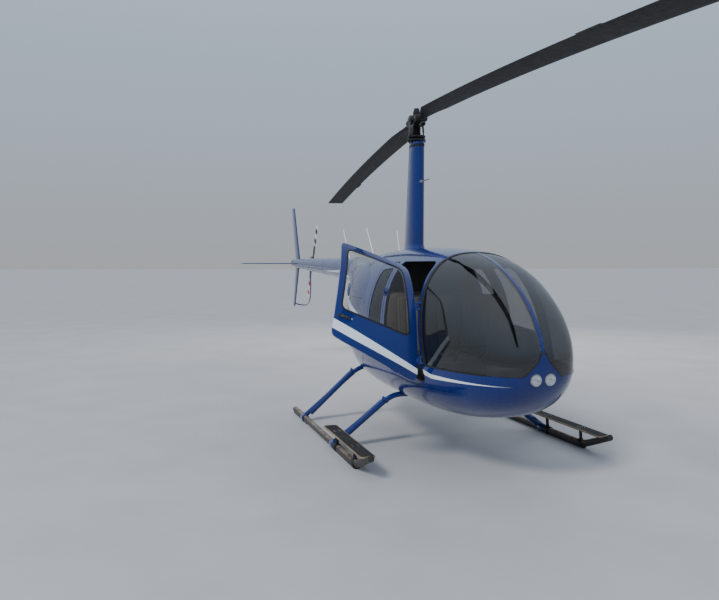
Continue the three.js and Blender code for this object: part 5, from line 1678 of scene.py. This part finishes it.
def pad(name, width, length, thick, origin, along, outward, channels):
    """Stuffed pad with its welt: width on X, length on the along direction, its face towards outward."""
    origin, along, outward = Vector(origin), Vector(along).normalized(), Vector(outward).normalized()

    def place(x, v, height):
        return origin + Vector((x, 0, 0)) + along * v + outward * height

    upper = eased(np.linspace(-1, 1, int(width / 0.0058)))
    lower = eased(np.linspace(1, -1, 24)[1:-1])
    pitch = 1.36 * (width / 2) / channels
    rings = []
    for v in np.sin(np.linspace(-0.4995, 0.4995, 54) * math.pi):
        s = (1 - abs(v) ** 7) ** (1 / 7)
        ring = []
        for u, sign in [(u, 1) for u in upper] + [(u, -1) for u in lower]:
            height = (max(1 - abs(u) ** 7, 0.0) ** (1 / 2.6)) * s ** 2.2 * sign * thick / 2
            if sign > 0:
                inside = max(1 - (abs(u) / 0.70) ** 12, 0.0) * max(1 - (abs(v) / 0.80) ** 12, 0.0)
                share = (u + 0.68) * width / 2 / pitch
                away = abs(share - round(share)) * pitch
                height += PAD_CROWN * (1 - u * u) * (1 - v * v)
                height -= CHANNEL_DEPTH * inside * math.exp(-(away / CHANNEL_WIDTH) ** 2)
                if abs(u) < 0.76 and abs(v) < 0.86:
                    rim = min(abs(abs(u) - 0.74) * width / 2, abs(abs(v) - 0.84) * length / 2)
                    height -= 0.005 * math.exp(-(rim / 0.007) ** 2)
            ring.append(place(u * s * width / 2, v * length / 2, height - PAD_CROWN * 0.5))
        rings.append(ring)
    edge = rounded_outline(rectangle(-width / 2, width / 2, -length / 2, length / 2, 0.05))
    welt_path = [place(u * 0.985, v * 0.985, thick * 0.22) for u, v in edge]
    welt = tube("welt", welt_path, 0.004, 10, outward, closed=True)
    return join(name, [ring_loft(name, rings), welt])


def build_belt(name, x, rear_y):
    """Lap belt laid over the cushion, with its buckle."""
    out = 1 if x > 0 else -1
    lay = [(x + out * across, rear_y - ahead, BELT_Z + rise) for across, ahead, rise in BELT_PATH]
    strap = sweep("strap", smooth_path(lay, 8), rounded_rectangle(0.046, 0.0022, 0.0008, 2))
    centre = (x + out * BUCKLE_OUT, rear_y - BUCKLE_AHEAD, BELT_Z + BUCKLE_RISE)
    place = Matrix.Translation(centre) @ Matrix.Rotation(BUCKLE_TURN, 4, "Z")
    buckle = moved(bevelled_box("buckle", (-0.030, -0.026, 0), (0.030, 0.026, 0.016)), place)
    button = moved(bevelled_box("button", (-0.012, -0.016, 0.015), (0.012, 0.012, 0.019), 0.0015), place)
    parts = painted(WEBBING, strap) + painted(BARE_METAL, buckle) + painted(BLACK_PLASTIC, button)
    finish(join(name, parts), None)


def build_seats():
    for label, x, front_y, rear_y, lean, width, channels, belts in SEATS:
        middle = (x, (front_y + rear_y) / 2, (SEAT_LOW + SEAT_HIGH) / 2)
        seat = pad(f"seat_cushion_{label}", width, rear_y - front_y, SEAT_HIGH - SEAT_LOW, middle,
                   Y_AXIS, Z_AXIS, channels)
        finish(seat, LEATHER, f"cushion_{label}")
        foot = Vector((x, rear_y - 0.0225, SEAT_HIGH + 0.002))
        head = Vector((x, rear_y - 0.0225 + lean, BACK_TOP_Z))
        along = head - foot
        back = pad(f"seat_back_{label}", width, along.length, BACK_THICK, foot.lerp(head, 0.5), along,
                   (0, -along.z, along.y), channels)
        finish(back, LEATHER, f"backrest_{label}")
        for k, belt_x in enumerate(belts):
            build_belt(f"lap_belt_{label}_{k}", belt_x, rear_y)


# Columns: share of the radius, height.
BEZEL = [(0.86, 0.001), (0.86, 0.004), (0.92, 0.006), (1, 0.005), (1, -0.002), (0, -0.002), (0, 0.001)]


def gauge(centre, normal, radius, pointer):
    """Round instrument: bezel, marks and pointer."""
    right = Vector((-1, 0, 0))
    up = normal.cross(right)
    up = up if up.z > 0 else -up
    bezel = lathe("bezel", [(radius * share, height) for share, height in BEZEL], centre, normal, 40)
    # Marks and pointer: angle, lift, and rows of share of the radius outward and across.
    shapes = []
    for k in range(11):
        inner = 0.66 if k % 2 else 0.60
        rows = ((inner, -0.018), (0.80, -0.018), (0.80, 0.018), (inner, 0.018))
        shapes.append((math.radians(220 - 26 * k), 0.0015, rows))
    shapes.append((pointer, 0.0022, ((-0.12, 0.04), (-0.12, -0.04), (0.66, 0.0))))
    vertices, faces = [], []
    for angle, lift, rows in shapes:
        spoke = up * math.sin(angle) - right * math.cos(angle)
        across = normal.cross(spoke)
        faces.append(range(len(vertices), len(vertices) + len(rows)))
        vertices += [centre + (spoke * u + across * v) * radius + normal * lift for u, v in rows]
    return painted(BLACK_PLASTIC, bezel) + painted(DIAL_WHITE, new_object("marks", vertices, faces))


CONSOLE = [(-2.078, 0.5575), (-1.902, 0.5575), (-1.853, 0.800, 0.03), (-1.803, 1.117, 0.03),
           (-1.960, 1.148, 0.04), (-2.058, 0.900, 0.03)]
PANEL_TOP, PANEL_LOW = Vector((0, -1.806, 1.098)), Vector((0, -1.852, 0.806))
SWITCH = [(0.005, -0.002), (0.005, 0.002), (0.0018, 0.003), (0.0026, 0.014), (0, 0.015)]


def build_console():
    shell = side_prism(CONSOLE, -0.148, 0.148)
    shell.name = "console"
    parts = painted(BLACK_PLASTIC, bevel_sharp(shell, 0.010, 3, 50))
    down = (PANEL_LOW - PANEL_TOP).normalized()
    normal = Vector((0, -down.z, down.y))
    turn = Matrix((Vector(X_AXIS), normal, -down)).transposed().to_4x4()

    def on_panel(x, below, lift):
        return PANEL_TOP + down * below + Vector((x, 0, 0)) + normal * lift

    face = bevelled_box("face", (-0.138, -0.002, -0.145), (0.138, 0.003, 0.145), 0.002, 2)
    parts += painted(TRIM, moved(face, Matrix.Translation(PANEL_TOP.lerp(PANEL_LOW, 0.5)) @ turn))
    for row in range(3):
        for column in range(3):
            if (row, column) != (2, 1):
                place = on_panel((column - 1) * 0.084, 0.045 + row * 0.076, 0.003)
                parts += gauge(place, normal, 0.035, 0.6 + 0.9 * ((row * 3 + column * 5) % 4))
    radio = bevelled_box("radio", (-0.036, 0.0, -0.030), (0.036, 0.006, 0.030), 0.002, 2)
    parts += painted(BLACK_PLASTIC, moved(radio, Matrix.Translation(on_panel(0, 0.197, 0.001)) @ turn))
    for k in range(9):
        place = on_panel((k - 4) * 0.029, 0.262, 0.003)
        parts += painted(BARE_METAL, lathe("switch", SWITCH, place, normal + Vector((0, 0, 0.3)), 12))
    finish(join("instrument_panel", parts), None, "instrument_console")


FLOOR_TOP_Z = 0.5563
STICK_Y, BAR_Z = -1.640, 1.0
HAND_X = 0.330
PEDAL_X = (-0.332, -0.208, 0.208, 0.332)
PEDAL_Y, PEDAL_Z = -1.985, 0.690
PEDAL_LEAN = 0.45
PEDAL_RIBS = (-0.038, -0.014, 0.010, 0.034)
LEVER_PATH = [(0, -1.130, 0.700), (0, -1.300, 0.790), (0, -1.480, 0.905)]
STICK_BOOT = [(0, 0.0), (0.036, 0.0), (0.034, 0.010), (0.029, 0.014), (0.030, 0.024), (0.024, 0.028),
              (0.025, 0.038), (0.018, 0.044), (0, 0.044)]
STICK_PATH = [(0, -1.690, 0.60), (0, -1.676, 0.78), (0, -1.652, 0.95), (0, STICK_Y, BAR_Z)]
BAR_PATH = [(-HAND_X, -1.655, 0.885), (-HAND_X, STICK_Y, BAR_Z),
            (HAND_X, STICK_Y, BAR_Z), (HAND_X, -1.655, 0.885)]
STICK_PIVOT = mirrored([(0, 0.024), (0.022, 0.024), (0.024, 0.020)])
STICK_GRIP = [(0, 0.0), (0.013, 0.0), (0.0165, 0.006), (0.0150, 0.030), (0.0160, 0.050),
              (0.0148, 0.075), (0.0158, 0.095), (0.012, 0.104), (0, 0.104)]
LEVER_GRIP = [(0, 0.0), (0.014, 0.0), (0.0175, 0.006), (0.0170, 0.10), (0.0185, 0.11), (0.0185, 0.125),
              (0.012, 0.132), (0, 0.132)]


def build_controls():
    parts = painted(
        BLACK_METAL,
        bevelled_box("foot", (-0.044, -1.739, FLOOR_TOP_Z), (0.044, -1.641, FLOOR_TOP_Z + 0.045), 0.010),
        lathe("boot", STICK_BOOT, (0, -1.690, FLOOR_TOP_Z + 0.043), (0, 0.08, 1), 28),
        tube("post", smooth_path(STICK_PATH, 8), 0.0155, up=X_AXIS),
        tube("bar", bent_path(BAR_PATH, 0.030), 0.0115, up=Y_AXIS),
        lathe("pivot", STICK_PIVOT, (0, STICK_Y, BAR_Z), Y_AXIS),
    )
    for x in (-HAND_X, HAND_X):
        parts += painted(BLACK_PLASTIC, lathe("grip", STICK_GRIP, (x, -1.6545, 0.882), (0, 0.13, 1), 24))
        parts += painted(RED_LAMP, screw((x, -1.666, 0.968), (0, -1, 0), 12, 0.0045, 0.004, 0.004, 0.005))
    finish(join("cyclic_stick", parts), None, "cyclic_bar")

    pedals = []
    for x in PEDAL_X:
        place = Matrix.Translation((x, PEDAL_Y, PEDAL_Z)) @ Matrix.Rotation(PEDAL_LEAN, 4, "X")
        plate = bevelled_box("pedal", (-0.036, -0.004, -0.052), (0.036, 0.004, 0.052), 0.003)
        pedals.append(moved(plate, place))
        arm = bent_path([(x, -1.990, 0.675), (x, -2.010, 0.600), (x, -1.985, 0.562)], 0.02)
        pedals.append(tube("arm", arm, 0.007, 12, X_AXIS))
        for z in PEDAL_RIBS:
            rib = bevelled_box("rib", (-0.030, 0.004, z), (0.030, 0.007, z + 0.004), 0.0008, 1)
            pedals.append(moved(rib, place))
    finish(join("foot_pedals", pedals), DULL_METAL)

    lever = tube("lever", LEVER_PATH, 0.011, up=X_AXIS)
    grip = lathe("grip", LEVER_GRIP, (0, -1.470, 0.899), (0, -0.180, 0.115), 24)
    parts = painted(BLACK_METAL, lever) + painted(BLACK_PLASTIC, grip)
    finish(join("collective_lever", parts), None)


ENGINE_FRAME_Z = 0.6013
ENGINE_FRAME_X = 0.230
FRAME_CROSS_Y = (0.250, 0.760)
FAN_AT = (0, 0.8603, 0.900)
FAN_VANES = 20
SPINNER = [(0, 0.061), (0.050, 0.061), (0.050, 0.075), (0.040, 0.092), (0, 0.100)]
EXHAUST_Y = 0.560
CLUSTER = mirrored([(0, 0.030), (0.021, 0.030), (0.023, 0.024)])
FAN_HOUSING = [(0.118, 0.155), (0.124, 0.1495), (0.150, 0.146), (0.200, 0.140), (0.219, 0.125),
               (0.225, 0.100), (0.225, 0.030), (0.217, 0.008), (0.205, 0.001), (0, 0.001),
               (0, 0.060), (0.118, 0.062)]
MUFFLER = mirrored([(0, 0.209), (0.040, 0.207), (0.056, 0.198), (0.062, 0.184), (0.0605, 0.180),
                    (0.0605, 0.100), (0.062, 0.097), (0.062, 0.090), (0.0605, 0.087)])
OUTLET = [(0, 0.020), (0.0295, 0.020), (0.0295, 0.212), (0.0275, 0.212), (0.0270, 0.12), (0, 0.12)]


def build_engine_bay():
    rails = []
    for x in (-ENGINE_FRAME_X, ENGINE_FRAME_X):
        rails.append(tube("rail", [(x, y, ENGINE_FRAME_Z) for y in (-0.211, 0.2, 0.6, 0.9)], 0.018, 24))
        rails += [lathe("cluster", CLUSTER, (x, y, ENGINE_FRAME_Z), Y_AXIS, 24) for y in FRAME_CROSS_Y]
    for y in FRAME_CROSS_Y:
        path = [(x, y, ENGINE_FRAME_Z) for x in (-ENGINE_FRAME_X, 0, ENGINE_FRAME_X)]
        rails.append(tube("cross", path, 0.0178, 24))
    finish(join("engine_mount", rails), BLACK_METAL, "engine_frame")

    parts = painted(DULL_METAL, lathe("housing", FAN_HOUSING, FAN_AT, Y_AXIS, 72))
    parts += painted(BARE_METAL, lathe("spinner", SPINNER, FAN_AT, Y_AXIS))
    for a in turn_steps(FAN_VANES):
        vane = bevelled_box("vane", (0.052, 0.062, -0.001), (0.112, 0.090, 0.001), 0.0004, 1)
        place = Matrix.Translation(FAN_AT) @ Matrix.Rotation(a, 4, "Y")
        parts += painted(DULL_METAL, moved(vane, place))
    finish(join("cooling_fan", parts), None, "fan_scroll")

    parts = [
        lathe("muffler", MUFFLER, (0, EXHAUST_Y, 0.500), X_AXIS, 48),
        lathe("outlet", OUTLET, (0.120, EXHAUST_Y, 0.480), (0, 0.200, -0.080), 36),
    ]
    for x in (-0.150, 0.150):
        path = [(x, EXHAUST_Y, z) for z in (0.530, 0.575, 0.6188)]
        band = mirrored([(0.0236, 0.008), (0.027, 0.006)])
        parts += [tube("pipe", path, 0.0235, 24, X_AXIS), lathe("band", band, (x, EXHAUST_Y, 0.590))]
    finish(join("exhaust_muffler", parts), EXHAUST_METAL, "exhaust")


KEPT_NODES = {
    "cabin_floor": CARPET,
    "firewall": TRIM,
    "seat_base_front": TRIM,
    "seat_base_rear": TRIM,
    "engine_block": DULL_METAL,
}


def build_helicopter():
    cabin = shell_object("cabin_shell", 0.0, WALL)
    cowl_shell = shell_object("cowl_shell", 0.0, COWL_WALL)
    glass = shell_object("glass_shell", *GLASS_INSETS)
    build_panels(cabin, glass)
    for row in DOORS:
        for label, side in SIDES:
            build_door(row, label, side, cabin, glass)
    build_windshield_strips()
    build_landing_lights()
    build_cowl(cowl_shell)
    build_boom()
    build_tail()
    build_mast()
    build_main_blade("rear", -ROTOR_AZIMUTH)
    build_main_blade("front", math.pi - ROTOR_AZIMUTH)
    build_main_hub()
    build_tail_rotor()
    build_gear()
    build_seats()
    build_console()
    build_controls()
    build_engine_bay()
    for name, material in KEPT_NODES.items():
        set_materials(frame["nodes"][name].data, [material])
    cutters = [piece for piece in bpy.data.objects if piece.name.startswith("cutter")]
    for scratch in (cabin, cowl_shell, glass, *cutters):
        bpy.data.objects.remove(scratch)


# Camera, light and floor

CAMERA_AT = Vector((-2.774, -6.795, 1.673))
CAMERA_YAW = math.radians(17.6)
CAMERA_PITCH = math.radians(-2.9)
FOCAL_PIXELS = 700.0
IMAGE_WIDTH = 719.0
SENSOR = 36.0
VIEW_DEPTH = 600.0
FLOOR_HALF = 250.0
SUN_POWER = 2.4
SUN_COLOUR = (1.0, 0.96, 0.90)
SUN_ANGLE = math.radians(14)
SUN_DIRECTION = Vector((0.72, 0.42, -0.80))
# Sky colours by height, from the horizon up.
SKY = ((0.0, (0.42, 0.44, 0.47)), (0.08, (0.42, 0.46, 0.52)), (0.28, (0.46, 0.55, 0.67)),
       (0.60, (0.64, 0.74, 0.90)), (1.0, (0.84, 0.90, 1.0)))
# Name, place around the mast, width and height, power and colour.
SOFT_LIGHTS = (
    ("rim", (5.0, 8.0, 6.5), (7.0, 3.0), 500.0, (1.0, 0.92, 0.82)),
    ("fill", (-6.0, -7.0, 3.0), (6.0, 4.0), 220.0, (0.86, 0.92, 1.0)),
)


def aimed(direction):
    return direction.to_track_quat("-Z", "Y").to_euler()


def build_camera():
    data = bpy.data.cameras.new("camera")
    data.sensor_width = SENSOR
    data.lens = FOCAL_PIXELS / IMAGE_WIDTH * SENSOR
    data.clip_end = VIEW_DEPTH
    camera = linked(bpy.data.objects.new("camera", data))
    camera.location = CAMERA_AT + MAST
    level = math.cos(CAMERA_PITCH)
    camera.rotation_euler = aimed(Vector((
        math.sin(CAMERA_YAW) * level, math.cos(CAMERA_YAW) * level, math.sin(CAMERA_PITCH))))
    bpy.context.scene.camera = camera


def build_floor():
    corners = [(u, v, 0) for u, v, _ in rectangle(-FLOOR_HALF, FLOOR_HALF, -FLOOR_HALF, FLOOR_HALF)]
    floor = new_object("floor", corners, [(0, 1, 2, 3)])
    look = new_look("pale_floor")
    pale = look.ramp(look.noise(1.2, 4.0), (0.3, (0.35, 0.36, 0.38)), (0.7, (0.39, 0.40, 0.42)))
    painted(look.material({"Base Color": pale, "Roughness": 0.85}), floor)


def build_sky():
    world = bpy.data.worlds.new("studio")
    bpy.context.scene.world = world
    look = Look(world)
    height = look.split(look.coordinates("Generated"))["Z"]
    background = look.node("Background", {"Color": look.ramp(height, *SKY), "Strength": 1.0})
    look.node("OutputWorld", {"Surface": background.outputs["Background"]})


def add_light(name, kind, energy, colour):
    data = bpy.data.lights.new(name, kind)
    data.energy = energy
    data.color = colour
    lamp = linked(bpy.data.objects.new(name, data))
    lamp.visible_glossy = False
    return lamp


def build_lights():
    sun = add_light("soft_sun", "SUN", SUN_POWER, SUN_COLOUR)
    sun.data.angle = SUN_ANGLE
    sun.rotation_euler = aimed(SUN_DIRECTION)
    for name, place, size, power, colour in SOFT_LIGHTS:
        lamp = add_light(name, "AREA", power, colour)
        lamp.data.shape = "RECTANGLE"
        lamp.data.size, lamp.data.size_y = size
        lamp.location = Vector(place) + MAST
        lamp.rotation_euler = aimed(MAST + Vector(Z_AXIS) - lamp.location)


build_helicopter()
build_camera()
build_floor()
build_sky()
build_lights()
